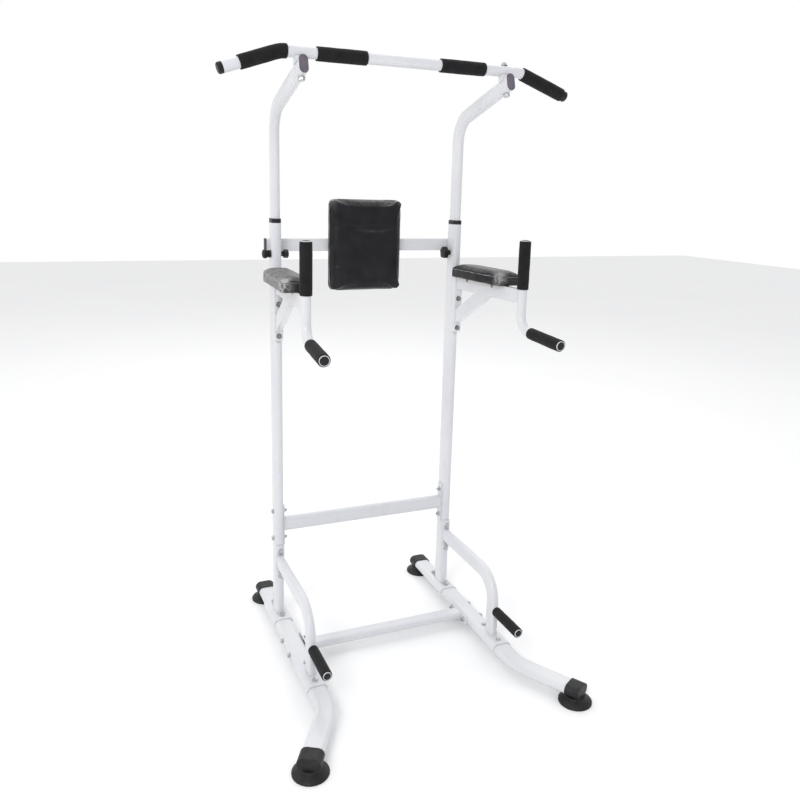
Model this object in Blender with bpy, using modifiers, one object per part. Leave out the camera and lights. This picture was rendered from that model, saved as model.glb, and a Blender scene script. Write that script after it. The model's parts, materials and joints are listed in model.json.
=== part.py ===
"""Power tower: a free-standing frame with a pull-up bar, dip arms, a backrest and push-up grips.

The front of the tower is -Y, its right side is +X and the floor is z = 0.  Lengths are metres.
The two upright sleeves stand on two base rails, and the pull-up bar rides on a pair of gooseneck
tubes that telescope in the sleeves, so the whole mast slides up and down.
"""
import math

import bmesh
import bpy
from mathutils import Matrix, Vector

# ---- driving dimensions -------------------------------------------------------------------------
GAP = 0.0003                      # clearance between two pieces that touch
SIDES = (("left", -1), ("right", 1))

UPRIGHT_X = 0.310                 # half the distance between the upright centre lines
UPRIGHT_Y = 0.266                 # how far the uprights stand behind the middle of the base
FOOT_SPREAD_Y = 0.456             # front and rear feet stand this far from the middle of the base

SLEEVE = (0.060, 0.030)           # flat-oval tube of the uprights and the rails, long and short
MAST_TUBE = (0.050, 0.025)        # flat-oval tube of the goosenecks, cross beams and braces
WALL = 0.0016                     # wall of every steel tube
PLATE = 0.003                     # thickness of the welded clips and saddles

RAIL_Z = 0.039                    # height of the rail's centre line
RAIL_BEND_Y = UPRIGHT_Y - 0.549   # where the rails turn outwards
RAIL_BEND_RADIUS = 0.16
RAIL_FLARE = math.radians(30)
RAIL_END_PAST_FOOT = 0.018        # tube that runs on past the middle of each foot

FOOT_RADIUS = 0.050
FOOT_CAP_WALL = 0.0032
FOOT_CAP_REAR = 0.023             # the rubber cap covers the rail this far behind the foot's middle

SLEEVE_TOP = 1.370
SADDLE_LENGTH = 0.146
UPRIGHT_SADDLE_SHIFT = 0.006
SADDLE_TOP = RAIL_Z + SLEEVE[1] / 2 + GAP + PLATE

LOWER_BEAM_Z = 0.372
LOWER_FLANGE = (0.029, 0.142)     # depth and height of the flange plates
BASE_BEAM_Y = UPRIGHT_Y - 0.2115
BASE_FLANGE = (0.120, 0.028)      # depth and height
FLANGE_THICKNESS = 0.004

BACK_BEAM_Z = 1.300
BACK_BEAM = (0.040, 0.025)        # height and depth
BACK_BEAM_HALF_LENGTH = 0.330

PIN_Z = 1.275                     # height of the pull pin and the clamp knobs
PIN_RADIUS = 0.004
PIN_HOLE_RADIUS = 0.0046
PIN_STEP = 0.050                  # pitch of the height-setting holes
PIN_STEPS = 6                     # steps above the lowest setting
PIN_SIDE = -1                     # only the left upright has a pull pin; both have a clamp knob

NECK_BOTTOM_Z = 0.900
NECK_CORNER_Z = 1.700             # where the upright and the forward stretch would meet
NECK_RISE = math.radians(16)
NECK_BEND_RADIUS = 0.085
NECK_REACH = 0.320                # horizontal distance from the upright to the open end

BAR_Y = UPRIGHT_Y - 0.281
BAR_Z = 1.825
BAR_RADIUS = 0.0155
BAR_BEND_X = 0.361
BAR_END_X = 0.513
BAR_DROOP = math.radians(19.3)
BAR_BEND_RADIUS = 0.07
BAR_FOAM_RADIUS = 0.019
BAR_GRIPS = {                     # where each grip starts and ends, measured along X
    "left_outer_bar_grip": (-0.471, -0.345),
    "left_inner_bar_grip": (-0.264, -0.122),
    "right_inner_bar_grip": (0.101, 0.242),
    "right_outer_bar_grip": (0.369, 0.5115),
}
BOLT_RADIUS = 0.005
NUT_SIDE = 1                      # the left bolt ends inside the bar, with no nut on top

CLIP_PIVOT_Y = UPRIGHT_Y - (SLEEVE[0] - SLEEVE[1]) / 2   # centre of the sleeve's round front
ARM_SPLAY = math.radians(3.2)
ARM_TOP_Z = 1.199
ARM_DEPTH = 0.042
ARM_WIDTH = 0.020
ARM_WALL = 0.0022
ARM_POST_BOTTOM_Z = 1.008         # lower end of the channel that carries the arm on the sleeve
ARM_POST_WIDTH = 0.026
ARM_POST_REACH = 0.030            # from the clip pivot to the channel's front
STRUT_AT_ARM = (0.150, 0.230)     # reach of the strut's upper and lower edge where they meet the arm
STRUT_DROP = 0.60                 # how far the strut falls for each metre towards the sleeve

HANDLE_RADIUS = 0.014
HANDLE_FOAM_RADIUS = 0.0172
HANDLE_REACH = 0.402              # from the clip pivot to the vertical stretch
HANDLE_TOP_Z = 1.343
HANDLE_CORNER_Z = 1.0795
HANDLE_END_REACH = 0.601
HANDLE_DROOP = math.radians(4.2)
HANDLE_BEND_RADIUS = 0.050
HANDLE_UPRIGHT_GRIP_BOTTOM_Z = ARM_TOP_Z + 2 * GAP
HANDLE_FOAM_SETBACK = 0.0025      # bare tube left at each open end
HANDLE_DIP_GRIP_LENGTH = 0.146

ARM_PAD = (0.086, 0.298, 0.044)   # width, length, thickness
ARM_PAD_PLACE = {                 # reach of the rear edge, and how far outward the pad is fitted
    "left": (0.052, 0.012),
    "right": (0.026, 0.008),
}
BOARD_THICKNESS = 0.008
BOARD_MARGIN = 0.012

BACKREST = (0.246, 0.291, 0.040)  # width, height, thickness
BACKREST_X = -0.008
BRACKET = (0.256, 0.036, 0.003)   # width, height, thickness

BRACE_Z = 0.248
BRACE_CLIP_HEIGHT = 0.119
BRACE_Y = UPRIGHT_Y - 0.384
BRACE_BEND_RADIUS = 0.085
GRIP_TUBE_RADIUS = 0.0125
GRIP_FOAM_RADIUS = 0.0158
GRIP_Z = 0.145
GRIP_REACH = (0.410, 0.549)       # start and end of the push-up grips in front of the uprights

ROUND_SIDES = 16
ARC_STEP = math.radians(12)

# Each plane's rotation takes a flat outline's X and Y to the two axes in its name.
PLANES = {
    "XY": (0.0, 0.0, 0.0),
    "XZ": (math.pi / 2, 0.0, 0.0),
    "YZ": (math.pi / 2, 0.0, math.pi / 2),
}

COLOURS = {                       # base colour, roughness, metallic
    "white_steel": ((0.86, 0.87, 0.88), 0.30, 0.0),
    "black_foam": ((0.012, 0.012, 0.013), 0.85, 0.0),
    "black_vinyl": ((0.015, 0.015, 0.017), 0.32, 0.0),
    "plywood": ((0.47, 0.31, 0.17), 0.65, 0.0),
    "black_rubber": ((0.018, 0.018, 0.019), 0.62, 0.0),
    "black_plastic": ((0.02, 0.02, 0.022), 0.42, 0.0),
    "smoke_plastic": ((0.055, 0.047, 0.062), 0.45, 0.0),
    "zinc_steel": ((0.62, 0.63, 0.65), 0.28, 1.0),
}


# ---- scene helpers ------------------------------------------------------------------------------
def clear_scene():
    for obj in list(bpy.data.objects):
        bpy.data.objects.remove(obj)


def make_collection(name):
    collection = bpy.data.collections.new(name)
    bpy.context.scene.collection.children.link(collection)
    return collection


def make_material(name):
    colour, roughness, metallic = COLOURS[name]
    material = bpy.data.materials.new(name)
    material.use_nodes = True
    shader = material.node_tree.nodes["Principled BSDF"]
    shader.inputs["Base Color"].default_value = (*colour, 1.0)
    shader.inputs["Roughness"].default_value = roughness
    shader.inputs["Metallic"].default_value = metallic
    return material


clear_scene()
PARTS = make_collection("power_tower")
CUTTERS = make_collection("cutters")
MATERIALS = {name: make_material(name) for name in COLOURS}


def plane_matrix(plane, location=(0, 0, 0)):
    return Matrix.Translation(location) @ euler_matrix(PLANES[plane])


def euler_matrix(angles):
    turn_x = Matrix.Rotation(angles[0], 4, "X")
    turn_y = Matrix.Rotation(angles[1], 4, "Y")
    turn_z = Matrix.Rotation(angles[2], 4, "Z")
    return turn_z @ turn_y @ turn_x


def add_object(name, mesh, matrix, material, sharp_angle=math.radians(35)):
    obj = bpy.data.objects.new(name, mesh)
    PARTS.objects.link(obj)
    obj.matrix_world = matrix
    mesh.materials.append(MATERIALS[material])
    mesh.shade_smooth()
    mesh.set_sharp_from_angle(angle=sharp_angle)
    return obj


def as_tool(obj):
    """Turns an object into the hidden second half of a Boolean."""
    PARTS.objects.unlink(obj)
    CUTTERS.objects.link(obj)
    obj.hide_render = True
    obj.display_type = "WIRE"
    return obj


def combine(obj, tool, operation):
    modifier = obj.modifiers.new(tool.name, "BOOLEAN")
    modifier.operation = operation
    modifier.object = as_tool(tool)
    return obj


def join(obj, tool):
    return combine(obj, tool, "UNION")


def cut(obj, tool):
    return combine(obj, tool, "DIFFERENCE")


def parent_to(obj, parent):
    obj.parent = parent
    obj.matrix_parent_inverse = parent.matrix_world.inverted()
    return obj


def add_pivot(name, location):
    pivot = bpy.data.objects.new(name, None)
    PARTS.objects.link(pivot)
    pivot.matrix_world = Matrix.Translation(location)
    return pivot


# ---- outlines and paths -------------------------------------------------------------------------
def arc(centre, radius, start, end, steps):
    """Points of an arc in degrees, both ends included."""
    points = []
    for index in range(steps + 1):
        angle = math.radians(start + (end - start) * index / steps)
        points.append((centre[0] + radius * math.cos(angle), centre[1] + radius * math.sin(angle)))
    return points


def stadium(long, short, steps=6):
    """A flat-oval outline with its long axis along X."""
    radius = short / 2
    core = (long - short) / 2
    return arc((core, 0), radius, -90, 90, steps) + arc((-core, 0), radius, 90, 270, steps)


def rounded_box(width, height, radius, steps=3):
    x = width / 2 - radius
    y = height / 2 - radius
    corners = (((x, y), 0), ((-x, y), 90), ((-x, -y), 180), ((x, -y), 270))
    return [point for centre, start in corners for point in arc(centre, radius, start, start + 90, steps)]


def saddle_outline(steps=5):
    """The upper half of a band that wraps a rail."""
    core = (SLEEVE[0] - SLEEVE[1]) / 2
    inner = SLEEVE[1] / 2 + GAP
    outer = inner + PLATE
    over = arc((core, 0), outer, 0, 90, steps) + arc((-core, 0), outer, 90, 180, steps)
    under = arc((-core, 0), inner, 180, 90, steps) + arc((core, 0), inner, 90, 0, steps)
    return over + under


def clip_outline(steps=8):
    """A segment about a sleeve's round front, to be cut back to a curved plate; the front is -Y."""
    return arc((0, 0), SLEEVE[1] / 2 + GAP + PLATE, 215, 325, steps)


def rounded_path(corners, radius):
    """An open line through the corners, with every inner corner turned into an arc."""
    points = [Vector(corners[0])]
    for before, corner, after in zip(corners, corners[1:], corners[2:]):
        corner = Vector(corner)
        back = (Vector(before) - corner).normalized()
        ahead = (Vector(after) - corner).normalized()
        turn = math.pi - back.angle(ahead)
        tangent = radius * math.tan(turn / 2)
        centre = corner + (back + ahead).normalized() * (radius / math.cos(turn / 2))
        start = corner + back * tangent - centre
        end = corner + ahead * tangent - centre
        steps = max(2, round(turn / ARC_STEP))
        for index in range(steps + 1):
            share = index / steps
            weight_start = math.sin((1 - share) * turn) / math.sin(turn)
            weight_end = math.sin(share * turn) / math.sin(turn)
            points.append(centre + start * weight_start + end * weight_end)
    points.append(Vector(corners[-1]))
    return points


def path_length(points):
    return sum((b - a).length for a, b in zip(points, points[1:]))


def path_portion(points, start, end):
    """The stretch of a path between two distances from its first point."""
    portion = []
    travelled = 0.0
    for a, b in zip(points, points[1:]):
        length = (b - a).length
        for wanted in (start, end):
            if travelled <= wanted < travelled + length:
                portion.append((wanted, a.lerp(b, (wanted - travelled) / length)))
        travelled += length
        if start < travelled < end:
            portion.append((travelled, b))
    if end >= travelled:
        portion.append((travelled, points[-1]))
    return [point for _, point in sorted(portion, key=lambda item: item[0])]


# ---- shapes -------------------------------------------------------------------------------------
def flat_curve(outlines, cyclic):
    curve = bpy.data.curves.new("outline", "CURVE")
    curve.dimensions = "2D"
    curve.fill_mode = "NONE"
    for outline in outlines:
        spline = curve.splines.new("POLY")
        spline.points.add(len(outline) - 1)
        spline.use_cyclic_u = cyclic
        for point, place in zip(spline.points, outline):
            point.co = (place[0], place[1], 0, 1)
    return curve


def mesh_from_curve(curve):
    """The evaluated mesh of a curve, with its loose caps welded on."""
    obj = bpy.data.objects.new("outline", curve)
    bpy.context.scene.collection.objects.link(obj)
    evaluated = obj.evaluated_get(bpy.context.evaluated_depsgraph_get())
    mesh = bpy.data.meshes.new_from_object(evaluated)
    bpy.data.objects.remove(obj)
    shell = bmesh.new()
    shell.from_mesh(mesh)
    bmesh.ops.remove_doubles(shell, verts=shell.verts, dist=0.00002)
    bmesh.ops.recalc_face_normals(shell, faces=shell.faces)
    shell.to_mesh(mesh)
    shell.free()
    return mesh


def slab(name, outlines, thickness, matrix, material):
    """A flat outline, with any holes in it, given a thickness about its own plane."""
    curve = flat_curve(outlines, cyclic=True)
    curve.fill_mode = "BOTH"
    curve.extrude = thickness / 2
    return add_object(name, mesh_from_curve(curve), matrix, material)


def oval_bar(name, points, section, matrix, material, capped=True):
    """A flat-oval section swept along a flat path; its long axis lies in the path's plane."""
    profile = bpy.data.objects.new("profile", flat_curve([stadium(*section)], cyclic=True))
    bpy.context.scene.collection.objects.link(profile)
    curve = flat_curve([points], cyclic=False)
    curve.bevel_mode = "OBJECT"
    curve.bevel_object = profile
    curve.use_fill_caps = capped
    mesh = mesh_from_curve(curve)
    bpy.data.objects.remove(profile)
    return add_object(name, mesh, matrix, material)


def round_bar(name, points, radius, matrix, material, capped=True):
    curve = flat_curve([points], cyclic=False)
    curve.bevel_depth = radius
    curve.bevel_resolution = (ROUND_SIDES - 4) // 2
    curve.use_fill_caps = capped
    return add_object(name, mesh_from_curve(curve), matrix, material)


def hollow(obj, wall):
    """Gives an open tube surface a wall on its inner side."""
    modifier = obj.modifiers.new("wall", "SOLIDIFY")
    modifier.thickness = wall
    modifier.offset = -1
    modifier.use_even_offset = True
    return obj


def turned(name, profile, matrix, material, segments=ROUND_SIDES):
    """A profile of (radius, height) points, top to bottom, turned about the local Z axis."""
    mesh = bpy.data.meshes.new(name)
    edges = [(index, index + 1) for index in range(len(profile) - 1)]
    mesh.from_pydata([(radius, 0, height) for radius, height in profile], edges, [])
    obj = add_object(name, mesh, matrix, material)
    modifier = obj.modifiers.new("turn", "SCREW")
    modifier.steps = segments
    modifier.render_steps = segments
    modifier.use_merge_vertices = True
    modifier.merge_threshold = 0.00005
    modifier.use_smooth_shade = True
    return obj


def rod(name, radius, start, end, material, sides=ROUND_SIDES):
    """A plain cylinder between two points."""
    start = Vector(start)
    span = Vector(end) - start
    mesh = bpy.data.meshes.new(name)
    shape = bmesh.new()
    bmesh.ops.create_cone(
        shape, cap_ends=True, segments=sides, radius1=radius, radius2=radius, depth=span.length
    )
    shape.to_mesh(mesh)
    shape.free()
    return add_object(name, mesh, facing(start + span / 2, span), material)


def facing(location, direction):
    """A placement whose Z axis points along a direction."""
    turn = Vector((0, 0, 1)).rotation_difference(Vector(direction).normalized())
    return Matrix.Translation(location) @ turn.to_matrix().to_4x4()


def stepped_plug(name, head_outline, stem_outline, head, stem, matrix, material):
    """A flat head with a smaller stem behind it, along local -Z.  Both outlines have as many points."""
    rings = ((head_outline, 0), (head_outline, -head), (stem_outline, -head), (stem_outline, -head - stem))
    count = len(head_outline)
    points = [(x, y, z) for outline, z in rings for x, y in outline]
    faces = [tuple(range(count)), tuple(range(4 * count - 1, 3 * count - 1, -1))]
    for ring in range(3):
        for index in range(count):
            here = ring * count + index
            after = ring * count + (index + 1) % count
            faces.append((here, here + count, after + count, after))
    mesh = bpy.data.meshes.new(name)
    mesh.from_pydata(points, [], faces)
    return add_object(name, mesh, matrix, material)


def box(name, size, matrix, material, bevel=0.0):
    mesh = bpy.data.meshes.new(name)
    shape = bmesh.new()
    bmesh.ops.create_cube(shape, size=1.0)
    bmesh.ops.scale(shape, verts=shape.verts, vec=size)
    shape.to_mesh(mesh)
    shape.free()
    obj = add_object(name, mesh, matrix, material)
    if bevel:
        modifier = obj.modifiers.new("edges", "BEVEL")
        modifier.width = bevel
        modifier.segments = 2
    return obj


# ---- base ---------------------------------------------------------------------------------------
def rail_corners(side):
    """Rear end, bend and front end of a rail, and the two foot positions, seen from above."""
    x = side * UPRIGHT_X
    rear_foot = Vector((x, FOOT_SPREAD_Y))
    bend = Vector((x, RAIL_BEND_Y))
    ahead = Vector((side * math.sin(RAIL_FLARE), -math.cos(RAIL_FLARE)))
    front_foot = bend + ahead * ((FOOT_SPREAD_Y + RAIL_BEND_Y) / math.cos(RAIL_FLARE))
    rear = rear_foot + Vector((0, RAIL_END_PAST_FOOT))
    front = front_foot + ahead * RAIL_END_PAST_FOOT
    return rear, bend, front, rear_foot, front_foot, ahead


def build_rail(name, side):
    rear, bend, front, _, _, _ = rail_corners(side)
    path = rounded_path([rear, bend, front], RAIL_BEND_RADIUS)
    level = plane_matrix("XY", (0, 0, RAIL_Z))
    return hollow(oval_bar(name, path, SLEEVE, level, "white_steel", capped=False), WALL)


def foot_profile():
    return (
        (0.0, 0.0222), (0.0290, 0.0222), (0.0310, 0.0170), (0.0455, 0.0095),
        (FOOT_RADIUS, 0.0050), (FOOT_RADIUS, 0.0), (0.0360, 0.0), (0.0320, 0.0030), (0.0, 0.0030),
    )


def build_foot(name, centre, outward):
    """A rubber cap over a rail's end, on a round cup that stands on the floor."""
    long = SLEEVE[0] + 2 * (GAP + FOOT_CAP_WALL)
    short = SLEEVE[1] + 2 * (GAP + FOOT_CAP_WALL)
    tip = RAIL_END_PAST_FOOT + GAP + FOOT_CAP_WALL
    level = Matrix.Translation((0, 0, RAIL_Z))
    ends = [centre - outward * FOOT_CAP_REAR, centre + outward * tip]
    cap = oval_bar(name, ends, (long, short), level, "black_rubber")
    cup = turned(name + "_cup", foot_profile(), Matrix.Translation((*centre, 0)), "black_rubber", 24)
    pocket = [ends[0] - outward * 0.01, centre + outward * (RAIL_END_PAST_FOOT + GAP)]
    room = (SLEEVE[0] + 2 * GAP, SLEEVE[1] + 2 * GAP)
    join(cap, cup)
    return cut(cap, oval_bar(name + "_pocket", pocket, room, level, "black_rubber"))


def build_base():
    for label, side in SIDES:
        _, _, _, rear_foot, front_foot, ahead = rail_corners(side)
        build_rail(label + "_base_rail", side)
        build_foot("front_" + label + "_foot", front_foot, ahead)
        build_foot("rear_" + label + "_foot", rear_foot, Vector((0, 1)))


def build_flanged_beam(name, half_span, centre, plane, flange):
    """A flat-oval cross beam with a plate welded to each end; the bore runs through the plates."""
    y, z = centre
    matrix = plane_matrix(plane, (0, y, z))
    reach = half_span - GAP
    beam = oval_bar(name, [(-reach, 0), (reach, 0)], MAST_TUBE, matrix, "white_steel")
    for label, side in SIDES:
        place = plane_matrix("YZ", (side * (reach - FLANGE_THICKNESS / 2), y, z))
        outline = rounded_box(*flange, 0.004)
        join(beam, slab(name + "_flange_" + label, [outline], FLANGE_THICKNESS, place, "white_steel"))
    bore = tuple(size - 2 * WALL for size in MAST_TUBE)
    through = [(-half_span - 0.01, 0), (half_span + 0.01, 0)]
    return cut(beam, oval_bar(name + "_bore", through, bore, matrix, "white_steel"))


def build_cross_beams():
    base_span = UPRIGHT_X - SLEEVE[0] / 2
    build_flanged_beam("base_cross_beam", base_span, (BASE_BEAM_Y, RAIL_Z), "XY", BASE_FLANGE)
    lower_span = UPRIGHT_X - SLEEVE[1] / 2
    build_flanged_beam("lower_cross_beam", lower_span, (UPRIGHT_Y, LOWER_BEAM_Z), "XZ", LOWER_FLANGE)


# ---- uprights -----------------------------------------------------------------------------------
def rail_saddle(name, x, y):
    matrix = plane_matrix("XZ", (x, y, RAIL_Z))
    return slab(name, [saddle_outline()], SADDLE_LENGTH, matrix, "white_steel")


def build_upright(name, side):
    x = side * UPRIGHT_X
    matrix = plane_matrix("YZ", (x, UPRIGHT_Y, 0))
    foot_z = SADDLE_TOP - 0.001
    sleeve = oval_bar(name, [(0, foot_z), (0, SLEEVE_TOP)], SLEEVE, matrix, "white_steel")
    join(sleeve, rail_saddle(name + "_saddle", x, UPRIGHT_Y + UPRIGHT_SADDLE_SHIFT))
    bore = tuple(size - 2 * WALL for size in SLEEVE)
    inside = [(0, SADDLE_TOP + 0.001), (0, SLEEVE_TOP + 0.01)]
    cut(sleeve, oval_bar(name + "_bore", inside, bore, matrix, "white_steel"))
    reach = SLEEVE[1]
    outer = x + side * reach if side == PIN_SIDE else x
    start = (x - side * reach, UPRIGHT_Y, PIN_Z)
    end = (outer, UPRIGHT_Y, PIN_Z)
    return cut(sleeve, rod(name + "_pin_hole", PIN_HOLE_RADIUS, start, end, "white_steel", 14))


def build_collar(name, side):
    """The plastic bush in the sleeve's mouth that guides the gooseneck tube."""
    flange_z = SLEEVE_TOP + GAP
    place = Matrix.Translation((side * UPRIGHT_X, UPRIGHT_Y, flange_z + 0.013)) @ euler_matrix(
        (0, 0, math.pi / 2)
    )
    skirt = stadium(*(size - 2 * (WALL + GAP) for size in SLEEVE))
    collar = stepped_plug(name, stadium(*SLEEVE), skirt, 0.013, 0.020, place, "black_plastic")
    room = tuple(size + 2 * GAP for size in MAST_TUBE)
    through = [(0, flange_z - 0.05), (0, flange_z + 0.03)]
    matrix = plane_matrix("YZ", (side * UPRIGHT_X, UPRIGHT_Y, 0))
    return cut(collar, oval_bar(name + "_bore", through, room, matrix, "black_plastic"))


# ---- sliding mast -------------------------------------------------------------------------------
def neck_corners():
    end_z = NECK_CORNER_Z + NECK_REACH * math.tan(NECK_RISE)
    return [(0, NECK_BOTTOM_Z), (0, NECK_CORNER_Z), (-NECK_REACH, end_z)]


def bolt_line(side):
    """A point on the pull-up bar's axis and the direction across the gooseneck below it."""
    across = Vector((0, math.sin(NECK_RISE), math.cos(NECK_RISE)))
    return Vector((side * UPRIGHT_X, BAR_Y, BAR_Z)), across


def build_gooseneck(name, side, mast):
    x = side * UPRIGHT_X
    matrix = plane_matrix("YZ", (x, UPRIGHT_Y, 0))
    path = rounded_path(neck_corners(), NECK_BEND_RADIUS)
    neck = hollow(oval_bar(name, path, MAST_TUBE, matrix, "white_steel", capped=False), WALL)
    steps = PIN_STEPS + 1 if side == PIN_SIDE else 0
    for step in range(steps):
        z = PIN_Z - step * PIN_STEP
        start = (x, UPRIGHT_Y, z)
        end = (x + side * MAST_TUBE[1], UPRIGHT_Y, z)
        cut(neck, rod(f"{name}_hole_{step}", PIN_HOLE_RADIUS, start, end, "white_steel", 10))
    centre, across = bolt_line(side)
    hole = rod(name + "_bolt_hole", BOLT_RADIUS + GAP, centre - across * 0.1, centre, "white_steel", 12)
    return parent_to(cut(neck, hole), mast)


def build_neck_cap(name, side, mast):
    _, _, (end_y, end_z) = neck_corners()
    place = Matrix.Translation((side * UPRIGHT_X, UPRIGHT_Y + end_y, end_z)) @ euler_matrix(
        (math.pi / 2 - NECK_RISE, 0, 0)
    )
    outward = place.to_3x3() @ Vector((0, 0, 1))
    head = 0.0025
    place = Matrix.Translation(outward * (head + GAP)) @ place @ Matrix.Rotation(math.pi / 2, 4, "Z")
    stem = stadium(*(size - 2 * (WALL + GAP) for size in MAST_TUBE))
    cap = stepped_plug(name, stadium(*MAST_TUBE), stem, head, 0.018, place, "smoke_plastic")
    return parent_to(cap, mast)


def bar_path():
    drop = (BAR_END_X - BAR_BEND_X) * math.tan(BAR_DROOP)
    corners = [(-BAR_END_X, -drop), (-BAR_BEND_X, 0), (BAR_BEND_X, 0), (BAR_END_X, -drop)]
    return rounded_path(corners, BAR_BEND_RADIUS)


def distance_at_x(path, x):
    """How far along a path that runs towards +X its X coordinate reaches a value."""
    travelled = 0.0
    for a, b in zip(path, path[1:]):
        if a.x <= x <= b.x:
            return travelled + (b - a).length * (x - a.x) / (b.x - a.x)
        travelled += (b - a).length
    raise ValueError("x lies outside the path")


def build_bar(mast):
    matrix = plane_matrix("XZ", (0, BAR_Y, BAR_Z))
    path = bar_path()
    bar = hollow(round_bar("pull_up_bar", path, BAR_RADIUS, matrix, "white_steel", capped=False), WALL)
    parent_to(bar, mast)
    for label, side in SIDES:
        centre, across = bolt_line(side)
        add_bar_saddle(bar, label, centre, across, side)
        start = centre - across * 0.03
        end = centre + across * 0.03 if side == NUT_SIDE else centre
        cut(bar, rod(label + "_bar_bolt_hole", BOLT_RADIUS + GAP, start, end, "white_steel", 12))
    for name, (start_x, end_x) in BAR_GRIPS.items():
        stretch = path_portion(path, distance_at_x(path, start_x), distance_at_x(path, end_x))
        grip = round_bar(name, stretch, BAR_FOAM_RADIUS, matrix, "black_foam", capped=False)
        parent_to(hollow(grip, BAR_FOAM_RADIUS - BAR_RADIUS - GAP), mast)
    return bar


def add_bar_saddle(bar, label, centre, across, side):
    """A small U under the bar that straddles the gooseneck."""
    width = MAST_TUBE[1] + 2 * (GAP + PLATE)
    top = -BAR_RADIUS + 0.0011
    height = 0.016
    middle = centre + across * (top - height / 2)
    place = Matrix.Translation(middle) @ Matrix.Rotation(-NECK_RISE, 4, "X")
    join(bar, box(label + "_bar_saddle", (width, 0.024, height), place, "white_steel"))
    _, (_, corner_z), (end_y, end_z) = neck_corners()
    room = tuple(size + 2 * GAP for size in MAST_TUBE)
    matrix = plane_matrix("YZ", (side * UPRIGHT_X, UPRIGHT_Y, 0))
    neck = [(end_y * 0.5, (corner_z + end_z) / 2), (end_y * 1.2, corner_z + (end_z - corner_z) * 1.2)]
    cut(bar, oval_bar(label + "_neck_room", neck, room, matrix, "white_steel"))


def round_plug_profile(radius, head, stem_radius, stem):
    """A chamfered head with a stem below it."""
    return (
        (0.0, head), (radius - 0.003, head), (radius, head - 0.003), (radius, GAP),
        (stem_radius, GAP), (stem_radius, -stem), (0.0, -stem),
    )


def build_bar_plugs(mast):
    path = bar_path()
    for label, end, inner in (("left", path[0], path[1]), ("right", path[-1], path[-2])):
        outward = Vector((end.x - inner.x, 0, end.y - inner.y))
        place = facing((end.x, BAR_Y, BAR_Z + end.y), outward)
        profile = round_plug_profile(BAR_RADIUS, 0.014, BAR_RADIUS - WALL - 2 * GAP, 0.016)
        parent_to(turned(label + "_bar_plug", profile, place, "black_plastic"), mast)


def bar_bolt_profile(side):
    """The shank, under a washer and dome nut where the bolt comes through the top of the bar."""
    washer = BAR_RADIUS + GAP
    low = -BAR_RADIUS - 0.002 - MAST_TUBE[0] - 0.002
    if side != NUT_SIDE:
        return (0.0, 0.001), (BOLT_RADIUS - 0.001, 0.001), (BOLT_RADIUS, 0.0), (BOLT_RADIUS, low), (0.0, low)
    return (
        (0.0, washer + 0.0135), (0.0035, washer + 0.0128), (0.0062, washer + 0.0098),
        (0.0068, washer + 0.0068), (0.0088, washer + 0.0066), (0.0088, washer + 0.0015),
        (0.0105, washer + 0.0015), (0.0105, washer), (BOLT_RADIUS, washer), (BOLT_RADIUS, low),
        (0.0, low),
    )


def build_bar_bolt(name, side, mast):
    centre, across = bolt_line(side)
    bolt = turned(name, bar_bolt_profile(side), facing(centre, across), "zinc_steel", 16)
    below = centre - across * (BAR_RADIUS + 0.002 + MAST_TUBE[0] + GAP)
    join(bolt, rod(name + "_washer", 0.0105, below, below - across * 0.0015, "zinc_steel"))
    join(bolt, rod(name + "_head", 0.0092, below - across * 0.001, below - across * 0.008, "zinc_steel", 6))
    return parent_to(bolt, mast)


def build_mast():
    mast = add_pivot("mast_slide", (0, UPRIGHT_Y, SLEEVE_TOP))
    for label, side in SIDES:
        build_gooseneck(label + "_gooseneck", side, mast)
        build_neck_cap(label + "_gooseneck_cap", side, mast)
        build_bar_bolt(label + "_bar_bolt", side, mast)
    build_bar(mast)
    build_bar_plugs(mast)


# ---- height lock --------------------------------------------------------------------------------
def lock_frame(side, outward):
    """A placement at the lock's height on the upright, Z pointing away from the upright."""
    return facing((side * UPRIGHT_X, UPRIGHT_Y, PIN_Z), (outward, 0, 0))


def build_pull_pin(label, side):
    """A spring plunger: a fixed housing on the sleeve's outer face and the pin that slides in it."""
    face = SLEEVE[1] / 2 + GAP
    bore = PIN_HOLE_RADIUS
    housing = (
        (bore, face + 0.0090), (0.0100, face + 0.0090), (0.0115, face + 0.0075), (0.0120, face),
        (bore, face), (bore, face + 0.0090),
    )
    frame = lock_frame(side, side)
    turned(label + "_pin_housing", housing, frame, "black_plastic")
    tip = MAST_TUBE[1] / 2 + 2 * GAP
    knob = face + 0.0100
    pin = (
        (0.0, knob + 0.0160), (0.0090, knob + 0.0155), (0.0135, knob + 0.0125), (0.0146, knob + 0.0080),
        (0.0135, knob + 0.0025), (0.0100, knob), (PIN_RADIUS, knob), (PIN_RADIUS, tip), (0.0, tip),
    )
    turned(label + "_pull_pin", pin, frame, "black_plastic")


def star_outline(radius, depth, lobes, steps_per_lobe=6):
    points = []
    count = lobes * steps_per_lobe
    for index in range(count):
        angle = 2 * math.pi * index / count
        reach = radius - depth * (0.5 - 0.5 * math.cos(lobes * angle))
        points.append((reach * math.cos(angle), reach * math.sin(angle)))
    return points


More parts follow.
